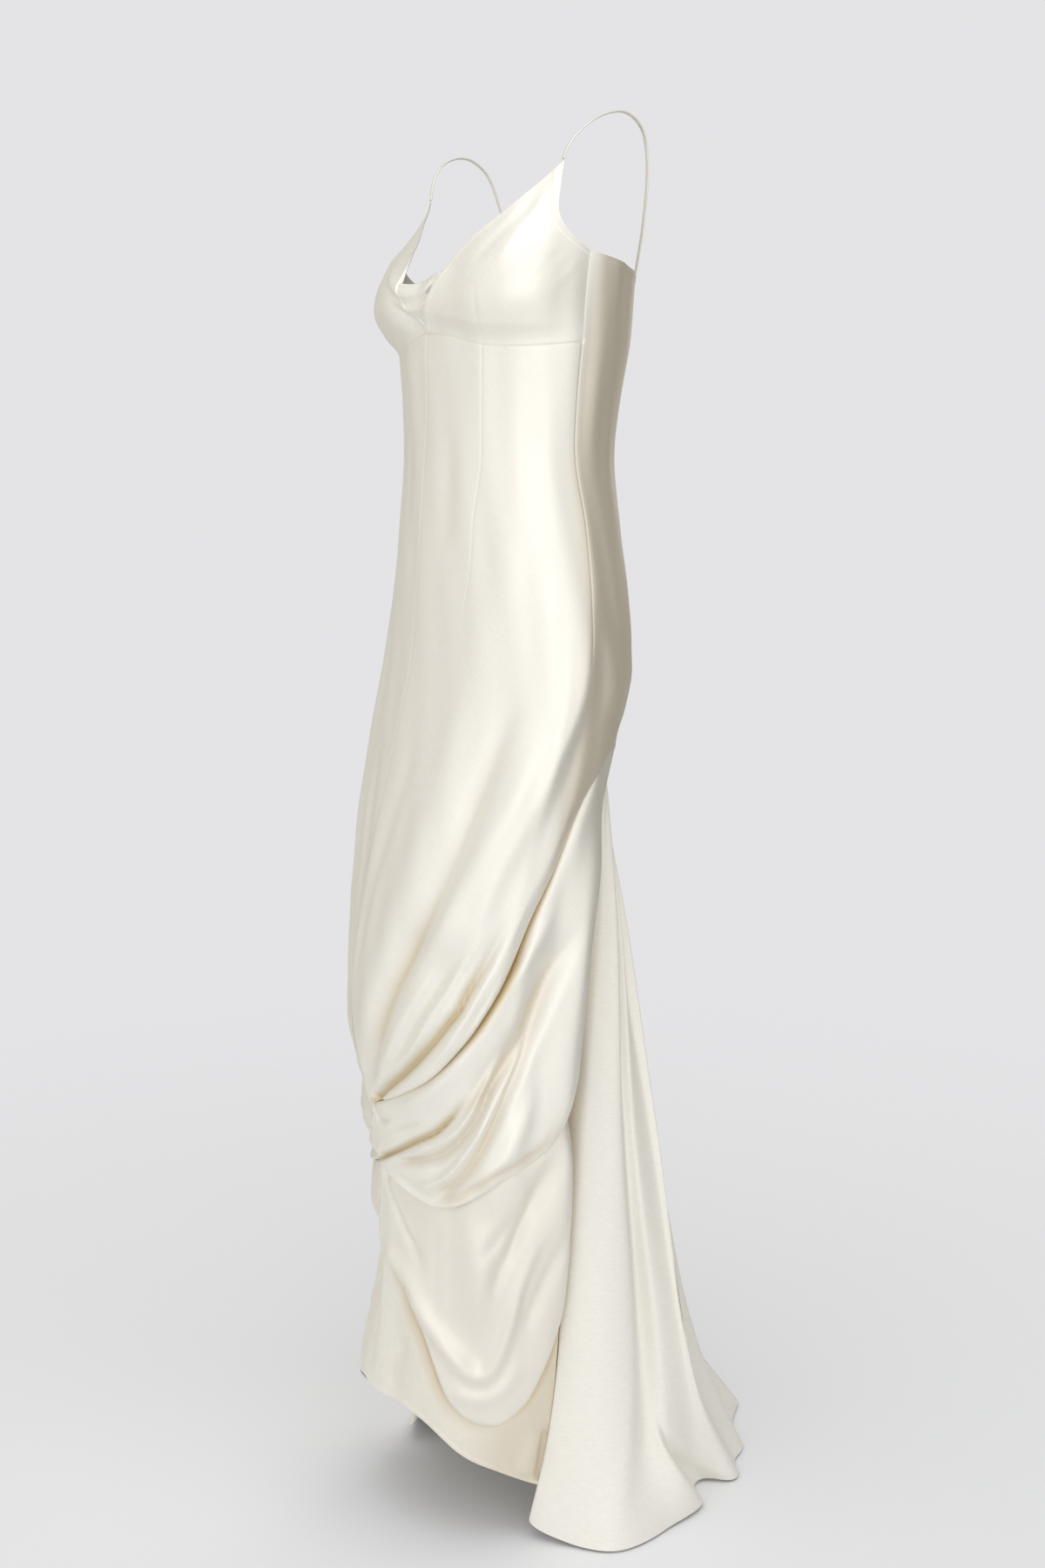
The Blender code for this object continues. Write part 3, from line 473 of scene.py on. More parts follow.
def fold(away, height, row, k, side):
    """Soft ridge or trough along a smooth path on the chart.

    Across the path it is a bell curve with its own half width on the upper and the lower side;
    along the path it starts and dies away with an ease. Beyond FOLD_REACH it is nothing.
    """
    out, below, above, start, end, path = row
    turn, lift, strength = uneven(k, side)
    table = numbered((a + turn, h + lift) for a, h in path)
    places = np.linspace(0.0, len(path) - 1.0, PATH_STEPS)
    px, py = DEGREE * through(places, table, 1), through(places, table, 2)
    x, y = DEGREE * away, height
    reach = FOLD_REACH * max(below, above)
    near = (x > px.min() - reach) & (x < px.max() + reach) & (y > py.min() - reach) & (y < py.max() + reach)
    result = np.zeros(near.shape)
    if not near.any():
        return result
    x, y = x[near], y[near]
    nearest = ((x[:, None] - px) ** 2 + (y[:, None] - py) ** 2).argmin(-1)
    tx, ty = np.gradient(px), np.gradient(py)
    step = np.hypot(tx, ty)[nearest]
    tx, ty = tx[nearest] / step, ty[nearest] / step
    dx, dy = x - px[nearest], y - py[nearest]
    distance = tx * dy - ty * dx
    share = (nearest + (tx * dx + ty * dy) / step) / (len(places) - 1.0)
    along = ease(share / start) * ease((1 - share) / end)
    result[near] = strength * out * along * bell(distance, np.where(distance > 0, above, below))
    return result


def from_tack(away, height, place):
    """Distance along the cloth from the tack at that height."""
    return np.hypot(DEGREE * away, height - place)


def folds(away, height, rows, first, side):
    """All the folds of a layer; they die away close to each tack. The right side has its own
    uneven ones, which run into the left side's where both meet at the centre-front seam."""
    free = 1.0
    for place, *_ in TACKS:
        free = free * (1 - bell(from_tack(away, height, place), TACK_CLEAR))
    plain = sum(fold(away, height, row, k, 1) for k, row in enumerate(rows))
    if side > 0:
        return free * plain
    own = sum(fold(away, height, row, first + k, side) for k, row in enumerate(rows))
    there = (1 - ease((away - SHALLOW_TO) / SHALLOW_FADE)) * ease((SHALLOW_UNDER - height) / UNDER_FADE)
    own = own * (1 - RIGHT_SHALLOW * there)
    share = ease(away / RIGHT_OWN)
    return free * ((1 - share) * plain + share * own)


def above_edge(angle, height, table):
    """Distance above an edge that runs round the dress, measured square to the edge."""
    rise = (through(angle + 0.5, table) - through(angle - 0.5, table)) / DEGREE
    return (height - through(angle, table)) / np.sqrt(1 + rise**2)


def rolled(above, angle, roll, side):
    """A layer that rolls under at its edge: a quarter ellipse up from the crease to the crown of
    the roll, then a bell curve that dies away into the plain cloth."""
    radius, out, deep = [through(angle, roll, column) for column in (1, 2, 3)]
    if side < 0:
        out = out * (1 - RIGHT_FLATTER * ease(angle / 14.0) * (1 - ease((angle - 55.0) / 30.0)))
    quarter = np.sqrt(1 - np.clip(1 - above / radius, 0, 1) ** 2)
    beyond = np.clip(above - radius, 0, None)
    return np.where(above < radius, (out + deep) * quarter - deep, out * bell(beyond, ROLL_FADE))


def creased(below, angle, roll):
    """The layer under a roll starts as deep as the crease and comes out of it exponentially."""
    return -through(angle, roll, 3) * np.exp(-np.clip(below, 0, None) / CREASE_FADE)


def stitched(distance, strength=1.0):
    """A pressed seam: a narrow groove, a bell curve, with the seam's allowance as a faint raised
    band beside it, exp(-(distance / half width) to the fourth)."""
    band = np.exp(-(((distance - BAND_AT) / BAND_WIDE) ** 4))
    return strength * (BAND_OUT * band - GROOVE_DEEP * bell(distance, GROOVE_WIDE))


def bust_seam(angle, height):
    """The groove of the seam under the bust, a bell curve across it."""
    return -BUST_SEAM_DEEP * bell(height - through(angle, UNDERBUST), GROOVE_WIDE)


def slack(angle, height, side):
    """Small uneven swells of soft cloth, a sum of four slow sine waves that close round the body."""
    a, h = side * np.radians(angle), height
    waves = np.sin(9 * a + 13 * h) + np.sin(16 * a - 7 * h + 2) + 0.8 * np.sin(23 * a + 31 * h)
    return SLACK * (waves + 0.6 * np.sin(5 * a - 43 * h + 1))


def taut(away, height, side):
    """The pull of the tacks on the right side: full between 12 and 50 degrees from the seam."""
    if side > 0:
        return 0.0
    return through(height, RIGHT_TAUT) * ease(away / 12.0) * (1 - ease((away - 50.0) / 30.0))


def gathers(away, height):
    """Small pleats that fan out from each tack, and the pinch itself: an uneven sine wave round
    the tack that grows and dies away as r exp(1 - r), and a narrow bell curve."""
    total = np.zeros(np.broadcast(away, height).shape)
    for place, reach, depth, count in TACKS:
        r = from_tack(away, height, place)
        turn = np.arctan2(height - place, DEGREE * away)
        fan = np.sin(count * turn + 0.8 * np.sin(3 * turn)) * (0.7 + 0.3 * np.sin(5 * turn + 1))
        total += depth * fan * (r / reach) * np.exp(1 - r / reach) * ease(r / 0.004)
        total -= TACK_PINCH * bell(r, PINCH_WIDE)
    return total


def most_shaded(*shares):
    """The largest of several shares of painted shade, place by place."""
    return np.maximum.reduce(shares)


def pleat_shade(away, height, rows, side):
    """Painted golden shade in the sharp pleats and in the pinch of each tack. A pleat is given
    as a fold whose "stands out" is that share."""
    gold = sum(fold(away, height, row, 0, 1) for row in rows) * (1.0 if side > 0 else RIGHT_SHADE)
    pinches = [TACK_SHADE * bell(from_tack(away, height, place), TACK_SHADE_WIDE) for place, *_ in TACKS]
    return np.clip(most_shaded(gold, *pinches), 0, 1)


def hollow_shade(away, height, rows, first, side):
    """The faint painted golden shade in the folds' hollows, where light comes by way of other
    silk: it grows with the depth of the hollow."""
    return HOLLOW_SHADE * np.clip(-folds(away, height, rows, first, side) / HOLLOW_DEEP, 0, 1)


def side_shade(angle):
    """The faint painted golden shade of the side that is turned away from the light."""
    return SIDE_SHADE * ease((angle - SIDE_FROM) / (SIDE_TO - SIDE_FROM))


def hung(angle, height, side, rows, first):
    """What every layer has: its swells, gathers and folds, less the pull of the tacks."""
    away = from_centre_front(angle, height, side)
    soft = slack(angle, height, side) + gathers(away, height) - taut(away, height, side)
    return soft + folds(away, height, rows, first, side)


def upper_drape(angle, height, side):
    """How far the upper layer, front and back, stands out from the body rings: its folds, its
    rolled edge and its stitched lines added up."""
    away = from_centre_front(angle, height, side)
    seam_side = angle + (away - angle) * ease((height - through(angle, DRAPE_EDGE)) / 0.05)
    above = np.clip(above_edge(seam_side, height, DRAPE_EDGE), 0, None)
    out = hung(angle, height, side, UPPER_FOLDS, 1) + rolled(above, seam_side, DRAPE_ROLL, side)
    out += stitched(DEGREE * away, 0.45)
    dart = DEGREE * (away - through(height, LONG_DART))
    out += stitched(dart, 0.5 * ease((height - DART_END) / SEAM_FADE))
    side_line = DEGREE * (angle - through(height, SIDE_SEAM))
    out += stitched(side_line, 0.5 * ease((height - SIDE_SEAM_END) / SEAM_FADE))
    return out + bust_seam(angle, height) * (angle < BUST_SEAM_TO)


def ringed(angle, height, out):
    """A place on a body ring, x = half width times sine, y = -depth times cosine of the angle,
    moved outwards square to the ring, before the shoulders turn and lean."""
    half, front, back, centre = [through(height, RINGS, column) for column in (1, 2, 3, 4)]
    turn = np.radians(angle)
    depth = np.where(np.cos(turn) > 0, front, back)
    x, y = half * np.sin(turn), -depth * np.cos(turn)
    nx, ny = x / half**2, y / depth**2
    out = out / np.hypot(nx, ny)
    return np.stack([x + out * nx, centre + y + out * ny, height + 0 * x], -1)


def worn(x, y, height):
    """Turn and lean the upper body about the strap line, more and more towards the shoulders."""
    share = ease((height - POSE_FROM) / (POSE_TO - POSE_FROM))
    turn = np.radians(TURN) * share
    return np.stack([
        x * np.cos(turn) - y * np.sin(turn),
        x * np.sin(turn) + y * np.cos(turn),
        height - SHOULDER + LEAN * share * x,
    ], -1)


def bunched(count, start=0.0, end=0.0):
    """Values from 0 to 1 whose first step is shorter than an even one by the share start, and the
    last by the share end: t, less a full and a half sine wave."""
    t = np.linspace(0.0, 1.0, count)
    both = 0.5 * (start + end)
    return t - both * np.sin(2 * np.pi * t) / (2 * np.pi) - (start - both) * np.sin(np.pi * t) / np.pi


def two_part(count, start, end, share, second_count, second_start, second_end):
    """Two bunched runs of values end to end, which meet at that share."""
    first, second = bunched(count, start, end), bunched(second_count, second_start, second_end)
    return np.concatenate([share * first, share + (1 - share) * second[1:]])


def with_margin(s):
    """One more value beyond each end, so that slopes at the border are taken across it."""
    return np.concatenate([[2 * s[0] - s[1]], s, [2 * s[-1] - s[-2]]])


def between(share, marks, values):
    """Straight interpolation of whole arrays between marks, carried on past both ends."""
    marks, values = np.asarray(marks), np.stack(values)
    i = np.clip(np.searchsorted(marks, share, side="right") - 1, 0, len(marks) - 2)
    low = np.take_along_axis(values, i[None], 0)[0]
    high = np.take_along_axis(values, i[None] + 1, 0)[0]
    return low + (high - low) * (share - marks[i]) / (marks[i + 1] - marks[i])


def along(table):
    """The curve through a table, as a function of a height or an angle."""
    return lambda x: through(x, table)


def chart_grid(columns, rows, across, down):
    """Angle and height over a panel whose grid follows its seams and its edges.

    columns are (share, seam) with seam(height) an angle, rows are (share, edge) with edge(angle)
    a height. Each depends on the other, so they are worked out in turn until they agree.
    """
    u, v = np.meshgrid(across, down, indexing="ij")
    angle = 90.0 * u
    height = between(v, [m for m, _ in rows], [edge(angle) for _, edge in rows])
    for _ in range(GRID_ROUNDS):
        fresh = between(u, [m for m, _ in columns], [seam(height) for _, seam in columns])
        angle = (1 - GRID_PACE) * angle + GRID_PACE * fresh
        height = between(v, [m for m, _ in rows], [edge(angle) for _, edge in rows])
    return angle, height


def unit(vectors):
    """The vectors scaled to a length of 1."""
    return vectors / np.maximum(np.linalg.norm(vectors, axis=-1, keepdims=True), 1e-12)


def grid_normals(points):
    """Unit normals of a grid of points: the cross product of its two directions."""
    return unit(np.cross(np.gradient(points, axis=0), np.gradient(points, axis=1)))


def cloth_mesh(name, places, faces, uv, material):
    """A smooth mesh of one piece, with a place on the flat cloth in metres for each point."""
    mesh = bpy.data.meshes.new(name)
    mesh.from_pydata(places.tolist(), [], faces)
    corners = np.empty(len(mesh.loops), np.int32)
    mesh.loops.foreach_get("vertex_index", corners)
    layer = mesh.uv_layers.new(name="cloth")
    layer.data.foreach_set("uv", uv[corners].astype(np.float32).ravel())
    mesh.shade_smooth()
    mesh.materials.append(material)
    return mesh


def dress_piece(mesh, node):
    """The mesh as a piece of the dress, in place of its solid."""
    thing = bpy.data.objects.new(mesh.name, mesh)
    bpy.context.scene.collection.objects.link(thing)
    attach(thing, "root")
    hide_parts(node)
    return thing


def cloth_piece(node, points, uv, side, material, crepe=None, deep=None):
    """A thin closed wall of cloth from a grid of points that has one more line all round.

    Its normals are taken across the borders too, so that two pieces that meet along a seam are
    shaded as one surface.
    """
    outer, uv = points[1:-1, 1:-1], uv[1:-1, 1:-1].reshape(-1, 2)
    normal = -side * grid_normals(points)[1:-1, 1:-1]
    across, down = outer.shape[:2]
    under = across * down
    index = np.arange(under).reshape(across, down)
    a, b, c, d = index[:-1, :-1], index[1:, :-1], index[1:, 1:], index[:-1, 1:]
    skin = np.stack([a, d, c, b] if side > 0 else [a, b, c, d], -1).reshape(-1, 4)
    ring = np.concatenate([index[:, 0], index[-1, 1:], index[-2::-1, -1], index[0, -2:0:-1]])
    after = np.roll(ring, -1)
    rim = np.stack([ring, after, after + under, ring + under], -1)
    faces = np.concatenate([skin, skin[:, ::-1] + under, rim if side > 0 else rim[:, ::-1]])
    places = np.concatenate([outer, outer - CLOTH * normal]).reshape(-1, 3)
    mesh = cloth_mesh(f"{node}_cloth", places, faces.tolist(), np.tile(uv, (2, 1)), material)
    # the "deep" value is the share of painted golden shade at each place
    for kind, given in (("crepe", crepe), ("deep", deep)):
        value = mesh.attributes.new(kind, "FLOAT", "POINT")
        amount = np.zeros(outer.shape[:2]) if given is None else given[1:-1, 1:-1]
        value.data.foreach_set("value", np.tile(amount.ravel(), 2).astype(np.float32))
    mesh.normals_split_custom_set_from_vertices(np.concatenate([normal, -normal]).reshape(-1, 3).tolist())
    return dress_piece(mesh, node)


def chart_piece(node, side, angle, height, out, crepe=None, deep=None, back=0.0):
    """Satin over a chart grid, moved outwards from the body rings, in the pose it is worn in."""
    place = ringed(angle, height, out)
    points = worn(side * place[..., 0], place[..., 1] + back, place[..., 2])
    uv = np.stack([DEGREE * angle, height], -1)
    return cloth_piece(node, points, uv, side, SATIN, crepe, deep)


SATIN = satin_material("ivory satin", 0.48, 0.68, 1.0)
WORDS = ((1, "left"), (-1, "right"))

for side, word in WORDS:
    columns = (
        (0.0, lambda h: side * through(h, CENTRE_FRONT)),
        (DART_SHARE, lambda h: to_chart(through(h, LONG_DART), h, side)),
        (1.0, along(SIDE_SEAM)),
    )
    rows = ((0.0, along(UNDERBUST)), (1.0, along(DRAPE_EDGE)))
    across = with_margin(two_part(44, 0.9, 0.75, DART_SHARE, 60, 0.75, 0.75))
    angle, height = chart_grid(columns, rows, across, with_margin(bunched(254, 0.7, 0.88)))
    away = from_centre_front(angle, height, side)
    # painted golden shade in the pleats, in the folds' hollows and on the side turned away from the light
    deep = most_shaded(pleat_shade(away, height, UPPER_PLEATS, side),
                       hollow_shade(away, height, UPPER_FOLDS, 1, side), side_shade(angle))
    front = chart_piece(f"front_{word}", side, angle, height, upper_drape(angle, height, side), deep=deep)

# --- Back panels ----------------------------------------------------------------------------
# Two bias panels with a centre-back seam, joined to the fronts at the side seams. The top edge
# is low and straight and turned in; the lower edge takes the train.

BACK_EDGE = ((78.0, 1.365), (92.0, 1.360), (110.0, 1.353), (142.0, 1.345), (180.0, 1.335))
EDGE_TURNED = 0.0045                        # width of the turned-in band along the edges
EDGE_THICK, ARMHOLE_THICK = 0.0005, 0.0004  # its step along top and neck, and along the armhole
BACK_SHADE_FROM, BACK_SHADE_FADE = 120.0, 30.0    # where the painted shade of the side dies away on the back


def hemmed(distance, width, thick):
    """A turned-in edge: thicker by a step that rises over its line of stitches."""
    return thick * (1 - ease((distance - 0.85 * width) / (0.3 * width)))


for side, word in WORDS:
    columns = ((0.0, along(SIDE_SEAM)), (1.0, lambda h: 180.0 + 0 * h))
    rows = ((0.0, along(BACK_EDGE)), (1.0, along(DRAPE_EDGE)))
    across, down = with_margin(bunched(78, 0.75, 0.75)), with_margin(bunched(190, 0.75, 0.8))
    angle, height = chart_grid(columns, rows, across, down)
    out = upper_drape(angle, height, side) + stitched(DEGREE * (180.0 - angle))
    out += hemmed(through(angle, BACK_EDGE) - height, EDGE_TURNED, EDGE_THICK)
    # painted golden shade on the side turned away from the light, dying away towards the centre back
    deep = side_shade(angle) * (1 - ease((angle - BACK_SHADE_FROM) / BACK_SHADE_FADE))
    back = chart_piece(f"back_{word}", side, angle, height, out, deep=deep)

# --- Bust cups ------------------------------------------------------------------------------
# Two cups of satin, each with one dart from the bust seam to the bust point, turned in along
# the neck and the armhole. Each tapers to the tip that carries its strap.

CUP_ANGLE, CUP_HEIGHT, CUP_OUT = 40.0, 1.333, 0.024     # the bust point, and how far it stands out
CUP_SPREAD, CUP_ABOVE, CUP_BELOW = 30.0, 0.070, 0.040   # how far the swelling reaches inward, up, down
CUP_ACROSS, CUP_DOWN = 0.16, 0.09           # lengths of the grid's two directions, roughly
CUP_DART_TOP, CUP_DART_FADE = 1.318, 0.025  # the dart fades from this height upwards
BRIDGE_OUT, BRIDGE_SPREAD = 0.008, 17.0     # the cloth that spans the hollow between the cups
NECK_EDGE = ((0.0, 1.300), (5.5, 1.328), (11.0, 1.357), (18.0, 1.384), (34.0, 1.417), (52.0, 1.453))
RIGHT_NECK_EDGE = ((0.0, 1.300), (6.0, 1.325), (11.0, 1.349), (13.0, 1.382), (30.0, 1.421), (52.0, 1.453))
ARMHOLE = ((52.0, 1.453), (54.0, 1.428), (57.0, 1.402), (65.0, 1.382), (78.0, 1.365))
CUP_DART = ((1.282, 32.0), (1.310, 31.5), (1.338, 30.0))    # height, angle
# The right cup, turned away, stands forward beside the cowl and lies back towards its strap
RIGHT_FORWARD = ((1.300, 0.0), (1.335, 0.009), (1.360, 0.008), (1.390, 0.0))
RIGHT_BACK = ((1.385, 0.0), (1.420, 0.0125), (1.455, 0.0190), (1.503, 0.0))
CUP_ROLL = 0.0040       # the cowl's roll runs on up the right cup's neck edge and dies away
CUP_ROLL_FROM, CUP_ROLL_FADE = 1.355, 0.040
COWL_LIP, LIP_WIDE = 0.0028, 0.010          # how far the left cup's edge stands over the cowl
LIP_UNDER, LIP_FADE = 1.362, 0.010
# Folds of the cowl, which run on over the right cup; angles on the right are negative
COWL_FOLDS = (
    (0.0034, 0.0050, 0.0075, 0.25, 0.10, (
        (-30, 1.384), (-22, 1.364), (-14, 1.347), (-8, 1.339), (-2, 1.3375), (3, 1.3405), (8, 1.347),
        (12, 1.354))),
    (-0.0036, 0.0045, 0.0045, 0.35, 0.05, (
        (-22, 1.357), (-14, 1.341), (-8, 1.3305), (-2, 1.3295), (4, 1.334), (9, 1.341))),
    (0.0022, 0.0045, 0.0045, 0.35, 0.10, (
        (-20, 1.351), (-11, 1.333), (-5, 1.323), (0, 1.3235), (4, 1.328), (8, 1.3345))),
    (-0.0040, 0.0045, 0.0045, 0.35, 0.05, (
        (-20, 1.344), (-12, 1.327), (-6, 1.3165), (0, 1.3165), (4, 1.322), (7, 1.328))),
    (-0.0050, 0.0090, 0.0070, 0.40, 0.20, (
        (-18, 1.334), (-11, 1.318), (-5, 1.308), (0, 1.307), (4, 1.313))),
)
# Faint folds of a cup, towards its strap and towards the armhole
CUP_FOLDS = (
    (-0.0012, 0.007, 0.007, 0.3, 0.3, ((24, 1.350), (30, 1.375), (38, 1.402), (45, 1.428))),
    (0.0010, 0.006, 0.006, 0.3, 0.3, ((36, 1.350), (40, 1.378), (45, 1.405), (49, 1.436))),
    (-0.0010, 0.006, 0.006, 0.3, 0.3, ((47, 1.345), (49, 1.370), (51, 1.395), (52, 1.425))),
    (-0.0005, 0.006, 0.006, 0.3, 0.3, ((52, 1.335), (58, 1.352), (64, 1.372))),
    (0.0004, 0.006, 0.006, 0.3, 0.3, ((58, 1.325), (66, 1.340), (73, 1.358))),
)


def cup_swell(angle, height):
    """A rounded swelling at the bust point, exp(-(distance / spread) to the power 2.2), that ends
    at the underbust seam and the side seam."""
    spread = np.where(height > CUP_HEIGHT, CUP_ABOVE, CUP_BELOW)
    inward = np.clip((CUP_ANGLE - np.abs(angle)) / CUP_SPREAD, 0, None) ** 2.2
    swell = np.exp(-inward - np.abs((height - CUP_HEIGHT) / spread) ** 2.2)
    above_seam = ease((height - through(np.abs(angle), UNDERBUST)) / 0.022)
    return CUP_OUT * swell * above_seam * (1 - ease((np.abs(angle) - CUP_ANGLE) / 44.0))


def bust_drape(turn, height):
    """Both cups and the cloth that bridges them; turn is the angle, negative on the right."""
    bridge = BRIDGE_OUT * bell(turn, BRIDGE_SPREAD) * ease((height - 1.298) / 0.034)
    return cup_swell(turn, height) + bridge + slack(np.abs(turn), height, np.where(turn < 0, -1.0, 1.0))


def cowl_folds(turn, height):
    """The folds under the roll of the cowl, deepest beside the left cup."""
    return sum(fold(turn, height, row, k, 1) for k, row in enumerate(COWL_FOLDS))


def right_shift(turn, height):
    """How far back the right cup and strap lie, compared with the left ones."""
    centre = 1 - ease((np.abs(turn) - 18.0) / 30.0)
    shift = through(height, RIGHT_BACK) - centre * through(height, RIGHT_FORWARD)
    return shift * ease((12.0 - turn) / 26.0)


def edge_curve(rows):
    """A curve through (angle, height) rows, from 0 at the first to 1 at the last."""
    table = numbered(rows)
    return lambda s: tuple(through(s * (len(rows) - 1.0), table, column) for column in (1, 2))


def coons(left, right, top, bottom, across, down):
    """Angle and height over a patch between four edge curves: the blend of left and right, plus
    the blend of top and bottom, minus the blend of the four corners. Outside the patch it is
    carried straight on."""
    u, v = np.meshgrid(np.clip(across, 0, 1), np.clip(down, 0, 1), indexing="ij")
    ends = ((top, 0.0), (top, 1.0), (bottom, 0.0), (bottom, 1.0))
    planes = []
    for k in (0, 1):
        lines = [edge(s)[k] for edge, s in ((left, v), (right, v), (top, u), (bottom, u))]
        corners = [edge(np.array([s]))[k][0] for edge, s in ends]
        plane = (
            (1 - u) * lines[0] + u * lines[1] + (1 - v) * lines[2] + v * lines[3]
            - (1 - v) * ((1 - u) * corners[0] + u * corners[1])
            - v * ((1 - u) * corners[2] + u * corners[3])
        )
        plane[0], plane[-1] = 2 * plane[1] - plane[2], 2 * plane[-2] - plane[-3]
        plane[:, 0], plane[:, -1] = 2 * plane[:, 1] - plane[:, 2], 2 * plane[:, -2] - plane[:, -3]
        planes.append(plane)
    return planes


for side, word in WORDS:
    neck = (NECK_EDGE if side > 0 else RIGHT_NECK_EDGE)[::-1]
    seam = tuple((a, h) for h, a in SIDE_SEAM[-2:][::-1])
    across, down = with_margin(bunched(112, 0.6, 0.6)), with_margin(bunched(96, 0.6, 0.7))
    angle, height = coons(*map(edge_curve, (neck, seam, ARMHOLE, UNDERBUST)), across, down)
    u, v = np.meshgrid(across, down, indexing="ij")
    turn, from_neck = side * angle, u * CUP_ACROSS
    out = bust_drape(turn, height) + bust_seam(angle, height)
    out += sum(fold(angle, height, row, k + 10, side) for k, row in enumerate(CUP_FOLDS))
    if side < 0:
        near = np.clip(1 - from_neck / CUP_ROLL, 0, 1)
        near = near * (1 - ease((height - CUP_ROLL_FROM) / CUP_ROLL_FADE))
        out += cowl_folds(turn, height) - CUP_ROLL * (1 - np.sqrt(1 - near**2))
    else:
        out += COWL_LIP * bell(from_neck, LIP_WIDE) * ease((LIP_UNDER - height) / LIP_FADE)
    dart = DEGREE * (angle - through(height, CUP_DART))
    out += stitched(dart, 0.9 * (1 - ease((height - CUP_DART_TOP) / CUP_DART_FADE)))
    out += hemmed(from_neck, EDGE_TURNED, EDGE_THICK) + hemmed(v * CUP_DOWN, EDGE_TURNED, ARMHOLE_THICK)
    cup = chart_piece(f"cup_{word}", side, angle, height, out, back=right_shift(turn, height))

# --- Cowl -----------------------------------------------------------------------------------
# A bias inset between the cups. Its top hangs in a soft roll along the neck, with shallow folds
# under it that sweep from the right cup to the left cup's seam.

# Its upper edge: angle, height; its side edges: height, angle
COWL_TOP = (
    (-11.0, 1.3490), (-8.0, 1.3465), (-3.0, 1.3450), (1.0, 1.3475), (6.0, 1.3525), (11.0, 1.3570),
)
COWL_LEFT = ((1.300, 0.0), (1.328, 5.5), (1.357, 11.0))
COWL_RIGHT = ((1.300, 0.0), (1.325, 6.0), (1.349, 11.0))
COWL_FOOT, COWL_SPREAD = 1.300, 11.0        # height of its lowest point, and its widest angle
COWL_LOW = 0.955                            # how far down the inset its cloth reaches
ROLL_RADIUS = ((-11.0, 0.0026), (-6.0, 0.0040), (0.0, 0.0042), (6.0, 0.0030), (11.0, 0.0012))
ROLL_SHARE, ROLL_TURN = 0.30, 1.3 * np.pi   # the grid's share over the roll, and how far it turns
COWL_TUCK = 0.0040                          # how far it goes in under the left cup's edge

across = with_margin(bunched(90, 0.5, 0.5))
u, v = np.meshgrid(across, with_margin(np.linspace(-ROLL_SHARE, COWL_LOW, 90)), indexing="ij")
below = np.clip(v, 0, None)
turn = COWL_SPREAD * (2 * u - 1)
for _ in range(12):
    height = through(turn, COWL_TOP) * (1 - below) + COWL_FOOT * below
    turn = -through(height, COWL_RIGHT) * (1 - u) + through(height, COWL_LEFT) * u
wrap = ROLL_TURN * np.clip(-v / ROLL_SHARE, 0, 1.1)
radius = through(turn, ROLL_RADIUS)
out = bust_drape(turn, height) + cowl_folds(turn, height) - radius * (1 - np.cos(wrap))
out -= COWL_TUCK * ease(1 - (1 - u) / 0.22) * ease((1 - below) / 0.08) * ease(below / 0.10)
height = height + radius * np.sin(wrap)
place = ringed(np.abs(turn), height, out)
mirrored = np.where(turn < 0, -1, 1)
points = worn(mirrored * place[..., 0], place[..., 1] + right_shift(turn, height), place[..., 2])
cowl = cloth_piece("cowl", points, np.stack([DEGREE * turn, height], -1), 1, SATIN)

# --- Knee drapes ----------------------------------------------------------------------------
# The stretch of skirt between the two tacks. It comes out of the crease under the front layer,
# sweeps round to the train seam, and rolls under along its own lower edge.

# Lower edge: angle, height; and its roll, as for the front layer
SWAG_EDGE = (
    (0.0, 0.417), (8.0, 0.408), (18.0, 0.400), (28.0, 0.392), (38.0, 0.387), (48.0, 0.391), (58.0, 0.402),
    (72.0, 0.421), (86.0, 0.434), (97.0, 0.448), (106.0, 0.480), (114.0, 0.530), (124.0, 0.585),
    (142.0, 0.620),
)
SWAG_ROLL = (
    (0.0, 0.003, 0.003, 0.002), (15.0, 0.004, 0.007, 0.003), (40.0, 0.006, 0.011, 0.003),
    (60.0, 0.008, 0.012, 0.003), (80.0, 0.011, 0.011, 0.003), (100.0, 0.014, 0.007, 0.002),
    (118.0, 0.018, 0.002, 0.000), (130.0, 0.018, 0.000, 0.000), (150.0, 0.018, 0.000, 0.000),
)
VALLEY_DEPTH, VALLEY_SHADE = 0.034, 0.8      # depth of the valley beside the train, and its painted golden shade
# Where the skirt starts to turn in towards the train's seam: height, angle
VALLEY_FROM = (
    (0.045, 101.0), (0.205, 107.0), (0.300, 109.5), (0.370, 111.0), (0.440, 112.5), (0.530, 114.0),
    (0.583, 115.5), (0.635, 118.0), (0.690, 122.0), (0.750, 128.0), (0.860, 141.0),
)
RIM_OUT, RIM_SHADE = 0.0035, 0.28    # how far the rim flares out, and the painted golden shade in the hollow above it
